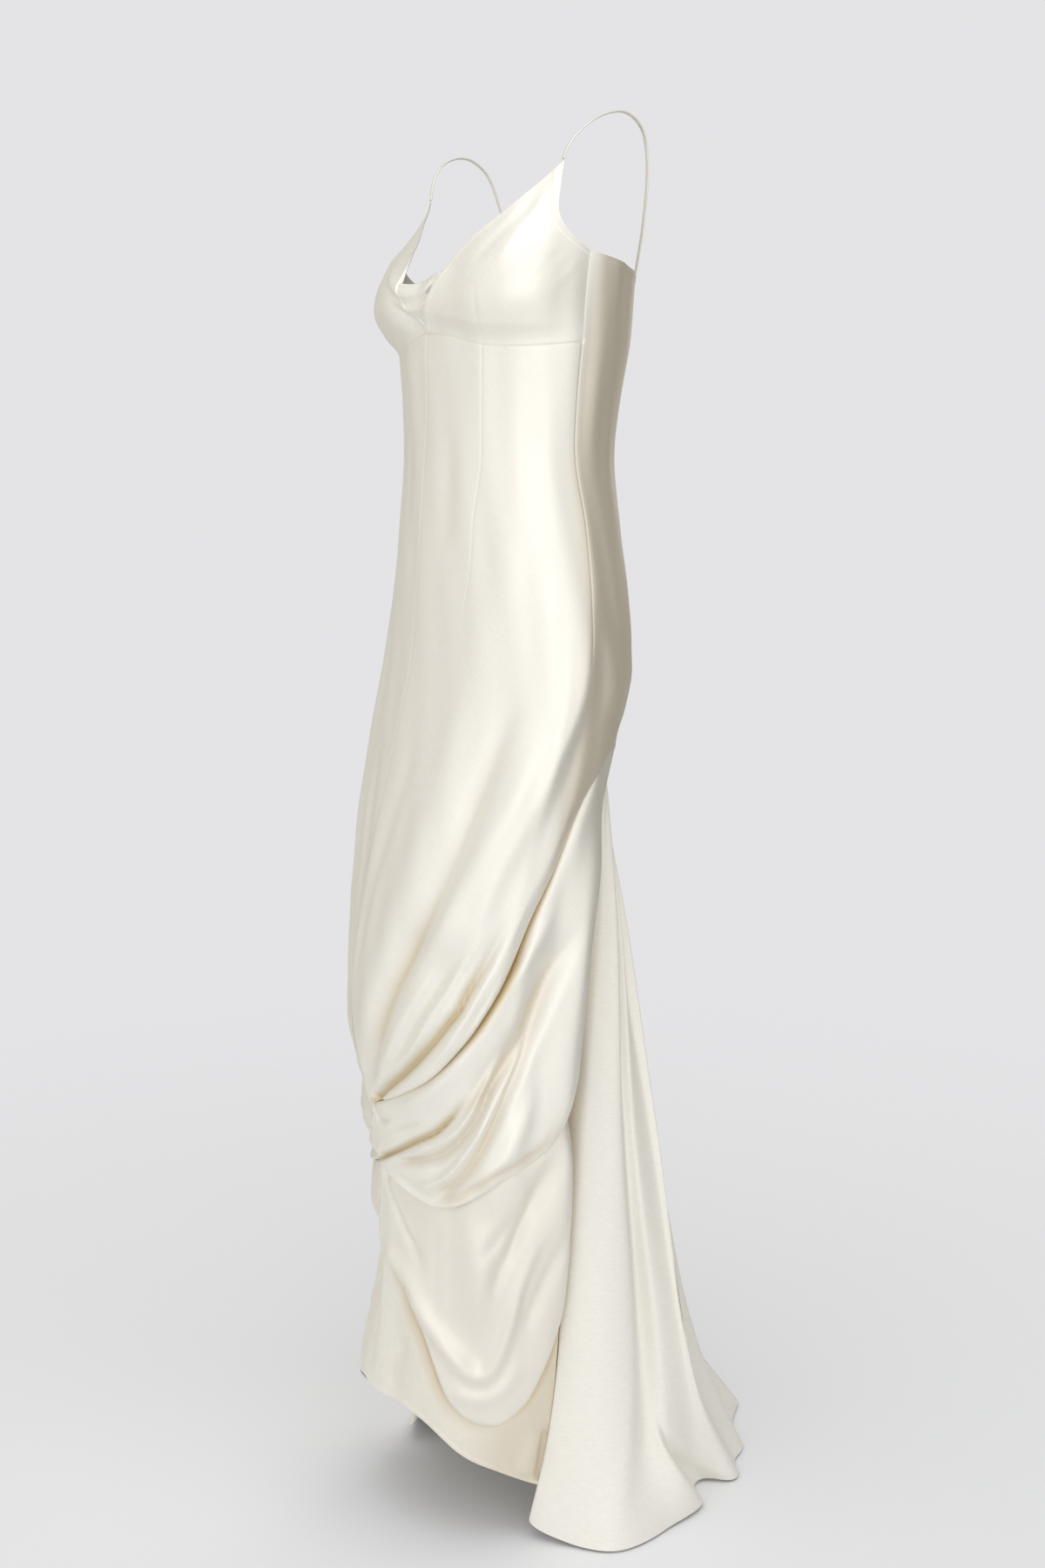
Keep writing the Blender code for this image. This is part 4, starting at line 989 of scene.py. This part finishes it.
# Paths of the crease out of the lower tack and of the last hollow of the fan under it
LOWER_CREASE = (
    (0, 0.417), (8, 0.427), (16, 0.438), (27, 0.454), (37, 0.467), (42, 0.476), (48, 0.489), (54, 0.505),
    (60, 0.518),
)
FAN_HOLLOW = (
    (36, 0.398), (42, 0.407), (50, 0.420), (59, 0.445), (65, 0.468), (71, 0.490), (78, 0.518),
    (85, 0.546), (91, 0.577),
)
SWAG_FOLDS = (
    # the cuff between the tacks: a crest under the crease, and the next crease, which opens
    # out into a wide hollow
    (0.0060, 0.012, 0.007, 0.20, 0.30, (
        (12, 0.482), (25, 0.496), (39, 0.515), (51, 0.540), (60, 0.569), (68, 0.598), (73, 0.620),
        (78, 0.643), (83, 0.665), (89, 0.694), (97, 0.724))),
    (-0.0080, 0.0030, 0.0050, 0.03, 0.35, LOWER_CREASE),
    (-0.0120, 0.0090, 0.0180, 0.35, 0.25, (
        (52, 0.488), (62, 0.508), (71, 0.528), (79, 0.550), (86, 0.575), (92, 0.604), (97, 0.634),
        (102, 0.664), (106, 0.700))),
    (0.0018, 0.004, 0.004, 0.3, 0.4, ((80, 0.558), (85, 0.584), (88, 0.612), (93, 0.640), (99, 0.668))),
    # small wrinkles of the cuff beside the upper tack
    (-0.0036, 0.0030, 0.0030, 0.2, 0.5, ((0, 0.471), (5, 0.468), (10, 0.470), (15, 0.475))),
    (-0.0024, 0.0035, 0.0035, 0.3, 0.4, ((10, 0.459), (18, 0.467), (27, 0.477), (35, 0.486))),
    # the fan of narrow ridges and hollows under it
    (0.0068, 0.0048, 0.0048, 0.20, 0.30, (
        (16, 0.431), (28, 0.445), (39, 0.459), (48, 0.471), (56, 0.490), (63, 0.512), (69, 0.533),
        (74, 0.553), (80, 0.577))),
    (-0.0080, 0.0045, 0.0045, 0.15, 0.30, (
        (10, 0.423), (22, 0.431), (32, 0.438), (41, 0.446), (49, 0.460), (57, 0.480), (64, 0.501),
        (70, 0.525), (76, 0.548))),
    (0.0020, 0.0032, 0.0032, 0.3, 0.4, (
        (24, 0.422), (33, 0.427), (41, 0.434), (47, 0.445), (53, 0.461))),
    (0.0068, 0.0048, 0.0048, 0.20, 0.30, (
        (26, 0.408), (34, 0.412), (41, 0.420), (48, 0.434), (54, 0.451), (61, 0.473), (67, 0.495),
        (74, 0.522))),
    (-0.0075, 0.0065, 0.0055, 0.12, 0.40, (*FAN_HOLLOW, (97, 0.612), (103, 0.657), (107, 0.700))),
    # the broad panel at the side and its turn towards the train
    (0.0045, 0.013, 0.012, 0.20, 0.50, (
        (58, 0.412), (66, 0.430), (74, 0.452), (84, 0.486), (92, 0.525), (98, 0.565))),
    (0.0180, 0.010, 0.030, 0.12, 0.30, (
        (106, 0.425), (109, 0.445), (111, 0.480), (112, 0.530), (113, 0.583), (114, 0.635), (115, 0.690),
        (118, 0.750), (122, 0.800), (126, 0.850))),
)
# Sharp pleats with painted golden shade, as on the front
SWAG_PLEATS = (
    (0.90, 0.0024, 0.0024, 0.02, 0.35, LOWER_CREASE),
    (0.35, 0.0070, 0.0090, 0.25, 0.30, (
        (50, 0.488), (60, 0.507), (70, 0.529), (79, 0.556), (85, 0.586), (90, 0.616), (96, 0.648),
        (101, 0.676))),
    (0.35, 0.0035, 0.0035, 0.20, 0.40, FAN_HOLLOW),
)


def valley(angle, height):
    """The deep fold where skirt and train meet: the skirt turns in towards the train's seam."""
    depth = VALLEY_DEPTH * ease((0.86 - height) / 0.16) * (0.35 + 0.65 * ease((height - 0.045) / 0.16))
    start = through(height, VALLEY_FROM)
    return -depth * ease((angle - start) / (through(height, TRAIN_SEAM) - start))


def shade_in_crease(below, angle, gold):
    """Painted golden shade on the layer under an edge: most in the crease, gone a few millimetres below."""
    share, width = through(angle, gold), through(angle, gold, 2)
    return np.clip(share, 0, 1) * bell(np.clip(below, 0, None), width)


def shade_in_valley(angle, height):
    """Painted golden shade of the skirt where it turns in towards the train's seam."""
    into = ease((angle - through(height, VALLEY_FROM) + 3.0) / 6.0)
    return VALLEY_SHADE * into * ease((height - 0.08) / 0.14) * (1 - ease((height - 0.74) / 0.10))


def swag_drape(angle, height, side):
    """How far the knee drape stands out from the body rings. Its lower rim flares a little
    between 8 and 100 degrees, with a shallow hollow above it, two bell curves."""
    above = np.clip(above_edge(angle, height, SWAG_EDGE), 0, None)
    rim = RIM_OUT * ease((angle - 8.0) / 14.0) * (1 - ease((angle - 88.0) / 12.0))
    out = hung(angle, height, side, SWAG_FOLDS, 20) + valley(angle, height)
    out += creased(-above_edge(angle, height, DRAPE_EDGE), angle, DRAPE_ROLL)
    out += rolled(above, angle, SWAG_ROLL, side) + rim * (bell(above, 0.0035) - bell(above - 0.011, 0.006))
    return out + stitched(DEGREE * from_centre_front(angle, height, side), 0.2)


for side, word in WORDS:
    columns = ((0.0, lambda h: side * through(h, CENTRE_FRONT)), (1.0, along(TRAIN_SEAM)))
    rows = ((0.0, along(DRAPE_EDGE)), (1.0, along(SWAG_EDGE)))
    across, down = with_margin(bunched(190, 0.85, 0.5)), with_margin(bunched(84, 0.6, 0.85))
    angle, height = chart_grid(columns, rows, across, down)
    away = from_centre_front(angle, height, side)
    # painted golden shade under the front layer's edge, in the valley, in the pleats and hollows, and in
    # the hollow above the rim
    over_rim = bell(above_edge(angle, height, SWAG_EDGE) - 0.012, 0.007)
    deep = most_shaded(
        shade_in_crease(-above_edge(angle, height, DRAPE_EDGE), angle, DRAPE_SHADE), shade_in_valley(angle, height),
        pleat_shade(away, height, SWAG_PLEATS, side), hollow_shade(away, height, SWAG_FOLDS, 20, side),
        RIM_SHADE * over_rim * ease((angle - 34.0) / 12.0) * (1 - ease((angle - 92.0) / 14.0)),
    )
    swag = chart_piece(f"swag_{word}", side, angle, height, swag_drape(angle, height, side), deep=deep)

# --- Lower skirts ---------------------------------------------------------------------------
# Below the second tack the skirt hangs in a deep U over its own hem band. The band shows the
# dull crepe side and ends in a narrow hem that rises towards the front.

# Lower edge: angle, height
HEM = (
    (0.0, 0.152), (21.0, 0.150), (39.0, 0.130), (53.0, 0.105), (72.0, 0.083), (96.0, 0.055), (110.0, 0.045),
)
HEM_WIDTH, HEM_THICK = 0.0045, 0.0006
# Lower edge of the U over the hem band: angle, height, and the same on the right side
U_EDGE = (
    (0.0, 0.316), (6.0, 0.310), (13.0, 0.294), (21.0, 0.266), (29.0, 0.238), (36.0, 0.207),
    (43.0, 0.174), (52.0, 0.150), (61.0, 0.139), (70.0, 0.137), (80.0, 0.148), (90.0, 0.170),
    (99.0, 0.203), (108.0, 0.248), (121.0, 0.320), (142.0, 0.430),
)
RIGHT_U_EDGE = (
    (0.0, 0.316), (8.0, 0.326), (16.0, 0.330), (26.0, 0.312), (38.0, 0.262), (50.0, 0.205), (61.0, 0.165),
    (72.0, 0.150), (82.0, 0.156), (92.0, 0.180), (100.0, 0.210), (108.0, 0.250), (121.0, 0.320),
    (142.0, 0.430),
)
# Its roll, as for the front layer
U_ROLL = (
    (0.0, 0.004, 0.005, 0.005), (12.0, 0.005, 0.007, 0.008), (26.0, 0.006, 0.008, 0.009),
    (42.0, 0.008, 0.007, 0.007), (60.0, 0.009, 0.006, 0.005), (80.0, 0.009, 0.006, 0.006),
    (95.0, 0.011, 0.006, 0.007), (106.0, 0.014, 0.004, 0.004), (118.0, 0.020, 0.000, 0.000),
    (150.0, 0.020, 0.000, 0.000),
)
U_SHADE, BAND_SHADE = 0.10, 0.20    # faint painted golden shade inside the U, and more in the band under it
# Painted golden shade on the cloth under the U's edge, and how wide it shows: angle, share, width
U_CREASE_SHADE = (
    (0.0, 0.40, 0.0080), (10.0, 0.60, 0.0120), (24.0, 0.65, 0.0140), (36.0, 0.55, 0.0130),
    (48.0, 0.30, 0.0130), (62.0, 0.30, 0.0140), (78.0, 0.35, 0.0130), (92.0, 0.60, 0.0120),
    (106.0, 0.70, 0.0120), (118.0, 0.20, 0.0080), (150.0, 0.00, 0.0080),
)
LOWER_FOLDS = (
    # the bright pointed ridge of the U and the wide soft arms inside it
    (0.0062, 0.009, 0.011, 0.10, 0.35, (
        (0, 0.326), (10, 0.315), (21, 0.297), (28, 0.272), (37, 0.246), (48, 0.218), (58, 0.199),
        (67, 0.206), (75, 0.248), (82, 0.296), (92, 0.342), (103, 0.385), (112, 0.430))),
    (0.0085, 0.034, 0.017, 0.35, 0.50, (
        (62, 0.385), (61, 0.345), (60, 0.305), (58, 0.268), (56, 0.232))),
    (-0.0045, 0.007, 0.008, 0.10, 0.35, (
        (2, 0.408), (8, 0.385), (15, 0.360), (24, 0.330), (33, 0.296))),
    (0.0030, 0.006, 0.006, 0.10, 0.40, ((4, 0.400), (12, 0.378), (20, 0.352), (28, 0.328))),
    (-0.0030, 0.009, 0.009, 0.30, 0.40, (
        (55, 0.322), (63, 0.340), (71, 0.358), (80, 0.378), (88, 0.402))),
    (-0.0075, 0.010, 0.011, 0.55, 0.25, (
        (58, 0.250), (64, 0.285), (70, 0.315), (77, 0.342), (85, 0.370), (93, 0.397), (100, 0.428),
        (106, 0.470))),
    # the hollow and the lip below the ridge
    (-0.0030, 0.008, 0.008, 0.15, 0.45, (
        (12, 0.290), (20, 0.270), (28, 0.248), (36, 0.222), (43, 0.196))),
    (0.0030, 0.010, 0.010, 0.30, 0.30, (
        (44, 0.190), (54, 0.176), (65, 0.174), (76, 0.192), (84, 0.230))),
    (-0.0035, 0.008, 0.008, 0.30, 0.35, ((84, 0.236), (92, 0.278), (101, 0.325), (109, 0.370))),
    (-0.0016, 0.003, 0.003, 0.3, 0.3, ((18, 0.283), (21, 0.286), (24, 0.281), (27, 0.270))),
    # the turn towards the train
    (0.0170, 0.010, 0.026, 0.75, 0.25, (
        (92, 0.150), (99, 0.190), (104, 0.240), (106, 0.300), (107, 0.355), (108, 0.410), (109, 0.470),
        (110, 0.520))),
    # the hem band
    (-0.0030, 0.014, 0.014, 0.2, 0.3, ((10, 0.160), (14, 0.195), (20, 0.225))),
    (0.0034, 0.010, 0.010, 0.2, 0.3, ((83, 0.070), (87, 0.095), (92, 0.128))),
    (-0.0050, 0.009, 0.009, 0.2, 0.3, ((92, 0.060), (96, 0.088), (101, 0.130))),
    (0.0030, 0.008, 0.008, 0.2, 0.3, ((99, 0.058), (103, 0.090), (107, 0.140))),
)
U_EDGES = {1: U_EDGE, -1: RIGHT_U_EDGE}
U_SHARE = 0.55          # share of the grid's lines above the U's edge


def lower_drape(angle, height, side):
    """How far the lower skirt stands out from the body rings."""
    out = hung(angle, height, side, LOWER_FOLDS, 40) + valley(angle, height)
    out += creased(-above_edge(angle, height, SWAG_EDGE), angle, SWAG_ROLL)
    above = above_edge(angle, height, U_EDGES[side])
    over = rolled(np.clip(above, 0, None), angle, U_ROLL, side)
    out += np.where(above > 0, over, creased(-above, angle, U_ROLL))
    return out + hemmed(height - through(angle, HEM), HEM_WIDTH, HEM_THICK)


for side, word in WORDS:
    edge = U_EDGES[side]
    columns = ((0.0, lambda h: side * through(h, CENTRE_FRONT)), (1.0, along(TRAIN_SEAM)))
    rows = ((0.0, along(SWAG_EDGE)), (U_SHARE, along(edge)), (1.0, along(HEM)))
    across = with_margin(bunched(180, 0.8, 0.5))
    down = with_margin(two_part(72, 0.5, 0.8, U_SHARE, 52, 0.7, 0.8))
    angle, height = chart_grid(columns, rows, across, down)
    away = from_centre_front(angle, height, side)
    # painted golden shade in the valley, under the U's edge, in the hollows, inside the U and in the band
    # under it
    under_u = -above_edge(angle, height, edge)
    deep = most_shaded(
        shade_in_valley(angle, height), (under_u > 0) * shade_in_crease(under_u, angle, U_CREASE_SHADE),
        hollow_shade(away, height, LOWER_FOLDS, 40, side),
        U_SHADE * ease((away - 8.0) / 12.0) + BAND_SHADE * (under_u > 0) * ease((away - 52.0) / 22.0),
    )
    crepe = ease((through(angle, edge) - height) / 0.006)
    out = lower_drape(angle, height, side)
    lower = chart_piece(f"lower_{word}", side, angle, height, out, crepe, deep)

# --- Train ----------------------------------------------------------------------------------
# Two flared panels with a centre-back seam, set into the back below the seat. They fall in deep
# flutes that widen downwards, and the hem spreads and curls on the floor.

TRAIN_HEIGHTS = (0.70, 0.45, 0.12)      # heights at which the folds' places are given
TRAIN_STATIONS = (0.0, 0.17, 0.46, 0.84, 1.0)       # share of a fold's length at top, heights and foot
TRAIN_TOP = ((150.0, 0.8600), (180.0, 0.8500))
TRAIN_FOOT = 0.045      # lowest height of the seam
# Name, angle at the top, place (x, y) at the three heights, foot (x, y, height)
TRAIN_FOLDS = (
    ("edge", 151.0, 0.104, 0.0085, 0.131, -0.027, 0.1345, -0.0646, 0.132, -0.093, 0.020),
    ("face", 154.0, 0.110, 0.0175, 0.140, -0.006, 0.166, -0.032, 0.172, -0.069, 0.005),
    ("first ridge", 157.0, 0.111, 0.0315, 0.143, 0.018, 0.177, 0.008, 0.208, -0.036, 0.002),
    ("first trough", 160.0, 0.080, 0.041, 0.124, 0.035, 0.160, 0.040, 0.212, 0.006, 0.002),
    ("second ridge", 163.0, 0.083, 0.053, 0.129, 0.046, 0.170, 0.064, 0.194, 0.058, 0.002),
    ("second trough", 166.0, 0.066, 0.055, 0.114, 0.072, 0.156, 0.105, 0.151, 0.125, 0.002),
    ("third ridge", 169.0, 0.066, 0.068, 0.115, 0.083, 0.157, 0.121, 0.152, 0.178, 0.002),
    ("third trough", 171.5, 0.046, 0.063, 0.080, 0.090, 0.108, 0.145, 0.118, 0.202, 0.002),
    ("back ridge", 174.0, 0.030, 0.080, 0.046, 0.122, 0.066, 0.190, 0.094, 0.232, 0.002),
    ("back trough", 177.0, 0.014, 0.074, 0.020, 0.110, 0.030, 0.172, 0.045, 0.254, 0.002),
    ("centre back", 180.0, 0.000, 0.084, 0.000, 0.128, 0.000, 0.212, 0.000, 0.298, 0.002),
)
TRAIN_SEAM_CLEAR = 0.003                    # gap between the train's edge and the skirt's
TRAIN_LAP, TRAIN_CLEAR = 6.0, 0.011         # how far the train laps the skirt, in degrees, and its gap
TRAIN_LAP_FROM, TRAIN_LAP_TO = 0.42, 0.22   # heights over which the lap grows
HALF_FLUTE = 0.26                           # place of the line between the seam and the first fold
# The cone-shaped flute over the hem: where it starts, the fold lines it runs between, its size
CONE_TOP, CONE_LINES, CONE_OUT = 0.83, (5.5, 7.15), 0.020
CONE_WIDE, CONE_WIDER = 0.12, 0.26          # half width where it starts, and how much it gains
TRAIN_SHADE = 0.9        # painted golden shade on its edge in the valley beside the skirt
FACE_SHARE = 0.25       # share of the way round that has its grid lines closer together


def train_places(across, down):
    """Grid over one half of the train, on the wearer's left.

    Down each fold a smooth curve runs from the seam at the back of the body through the fold's
    places to its foot; across, a smooth curve joins the folds in turn, seam edge first.
    """
    seam_height = TRAIN_TOP[0][1] + (TRAIN_FOOT - TRAIN_TOP[0][1]) * down
    seam_angle = through(seam_height, TRAIN_SEAM) + TRAIN_SEAM_CLEAR / DEGREE
    lines = [ringed(seam_angle, seam_height, valley(seam_angle, seam_height))]
    for _, angle, *middle, foot_x, foot_y, foot_height in TRAIN_FOLDS:
        angle = np.array([angle])
        start = ringed(angle, through(angle, TRAIN_TOP), np.array([-0.0004]))[0]
        heights = zip(middle[::2], middle[1::2], TRAIN_HEIGHTS)
        places = np.array([start, *heights, (foot_x, foot_y, foot_height)])
        table = np.column_stack([TRAIN_STATIONS, places])
        lines.append(np.stack([through(down, table, k) for k in (1, 2, 3)], -1))
    halfway = (1 - HALF_FLUTE) * lines[0] + HALF_FLUTE * lines[1]
    lap_angle = seam_angle - TRAIN_LAP
    lapped = ringed(lap_angle, seam_height, valley(lap_angle, seam_height) + TRAIN_CLEAR)
    share = ease((TRAIN_LAP_FROM - seam_height) / (TRAIN_LAP_FROM - TRAIN_LAP_TO))[:, None]
    lines.insert(1, (1 - share) * halfway + share * lapped)
    lines = np.array(lines)
    slope = np.gradient(lines, axis=0)
    x = across * (len(lines) - 1.0)
    i = np.clip(np.floor(x).astype(int), 0, len(lines) - 2)
    return cubic(lines[i], lines[i + 1], slope[i], slope[i + 1], (x - i)[:, None, None])


def hem_cone(grid, line, down):
    """The cone-shaped flute over the hem: a ridge and a sharp crease behind it that start at a
    point and widen to the hem; each is a bell curve across the fold lines, and moves the cloth
    along its normal."""
    grown = (down - CONE_TOP) / (1.0 - CONE_TOP)
    beside = line - CONE_LINES[0] - (CONE_LINES[1] - CONE_LINES[0]) * np.clip(grown, 0, 1.1)
    wide = CONE_WIDE + CONE_WIDER * np.clip(grown, 0, 1)
    out = bell(beside + 1.3 * wide, 1.4 * wide) - 1.1 * bell(beside, wide)
    return grid - (CONE_OUT * ease(grown * 1.3) * out)[..., None] * grid_normals(grid)


CREPE = satin_material("crepe side of the satin", 0.60, 0.66, 1.5, angle=CREPE_ANGLE, metal=0.08)
FOLD_LINES = len(TRAIN_FOLDS) + 1

for side, word in WORDS:
    across = with_margin(two_part(40, 0.5, 0.0, FACE_SHARE, 140, 0.0, 0.0))
    down = with_margin(bunched(158, 0.3, 0.6))
    line = FOLD_LINES * across[:, None]
    grid = train_places(across, np.clip(down, 0, 1))
    grid[:, 0] = 2 * grid[:, 1] - grid[:, 2]
    grid[:, -1] = 2 * grid[:, -2] - grid[:, -3]
    grid[-1] = grid[-3] * np.array([-1.0, 1.0, 1.0])
    grid[-2, :, 0] = 0.0
    grid = hem_cone(grid, line, down)
    points = worn(side * grid[..., 0], grid[..., 1], grid[..., 2])
    steps = np.linalg.norm(np.diff(grid, axis=0), axis=-1)
    reach = np.concatenate([np.zeros((1, grid.shape[1])), np.cumsum(steps, 0)])
    uv = np.stack([reach, grid[..., 2]], -1)
    # painted golden shade on the train's edge beside the skirt, dying away across the flutes and near the
    # floor
    deep = TRAIN_SHADE * (1 - ease((line - 0.5) / 0.7)) * ease((grid[..., 2] - 0.16) / 0.20)
    train = cloth_piece(f"train_{word}", points, uv, side, CREPE, deep=deep)

# --- Straps ---------------------------------------------------------------------------------
# Narrow turned straps of the same satin, from the tip of each cup over the shoulder to the back
# edge, sewn in flat at both ends.

# Centre line from the cup's tip over the shoulder to the back edge: x, y, height
STRAP = (
    (0.1180, -0.0695, 1.4545), (0.1190, -0.0635, 1.4680), (0.1210, -0.0500, 1.4820),
    (0.1235, -0.0280, 1.4960), (0.1250, 0.0000, 1.5030), (0.1245, 0.0220, 1.4970),
    (0.1220, 0.0380, 1.4800), (0.1160, 0.0480, 1.4450), (0.1050, 0.0540, 1.4000),
    (0.0935, 0.0570, 1.3620), (0.0897, 0.0568, 1.3472),
)
STRAP_WIDTH, STRAP_THICK = 0.0045, 0.0018
STRAP_STEPS, STRAP_SIDES = 120, 16
STRAP_SATIN = satin_material("turned strap satin", 0.45, 0.60, 0.05, bump=0.0)


def strap_tube(line):
    """A flat tube along a line: at each place a rounded box, cosine to the power 0.7 wide and sine
    thick, that lies across the line and level with the shoulders."""
    tangent = unit(np.gradient(line, axis=0))
    wide = unit(np.cross(tangent, np.cross(np.array([1.0, 0.0, LEAN]), tangent)))
    turn = np.linspace(0.0, 2 * np.pi, STRAP_SIDES + 1)[:-1, None]
    across = 0.5 * STRAP_WIDTH * np.sign(np.cos(turn)) * np.abs(np.cos(turn)) ** 0.7
    up = 0.5 * STRAP_THICK * np.sin(turn)
    return line[:, None] + across * wide[:, None] + up * np.cross(wide, tangent)[:, None]


for side, word in WORDS:
    s = np.linspace(0.0, len(STRAP) - 1.0, STRAP_STEPS)
    x, y, height = [through(s, numbered(STRAP), column) for column in (1, 2, 3)]
    back = right_shift(side * 90.0, height) * (y < 0)
    points = strap_tube(worn(side * x, y + back, height))
    index = np.arange(STRAP_STEPS * STRAP_SIDES).reshape(STRAP_STEPS, STRAP_SIDES)
    beside = np.roll(index, -1, 1)
    faces = np.stack([index[:-1], index[1:], beside[1:], beside[:-1]], -1).reshape(-1, 4).tolist()
    faces += [index[0].tolist(), index[-1][::-1].tolist()]
    turn = np.linspace(0.0, 2 * np.pi, STRAP_SIDES + 1)[:-1]
    uv = np.stack([np.tile(turn, STRAP_STEPS) * 0.0015, np.repeat(s, STRAP_SIDES) * 0.02], -1)
    mesh = cloth_mesh(f"strap_{word}_cloth", points.reshape(-1, 3), faces, uv, STRAP_SATIN)
    dress_piece(mesh, f"strap_{word}")
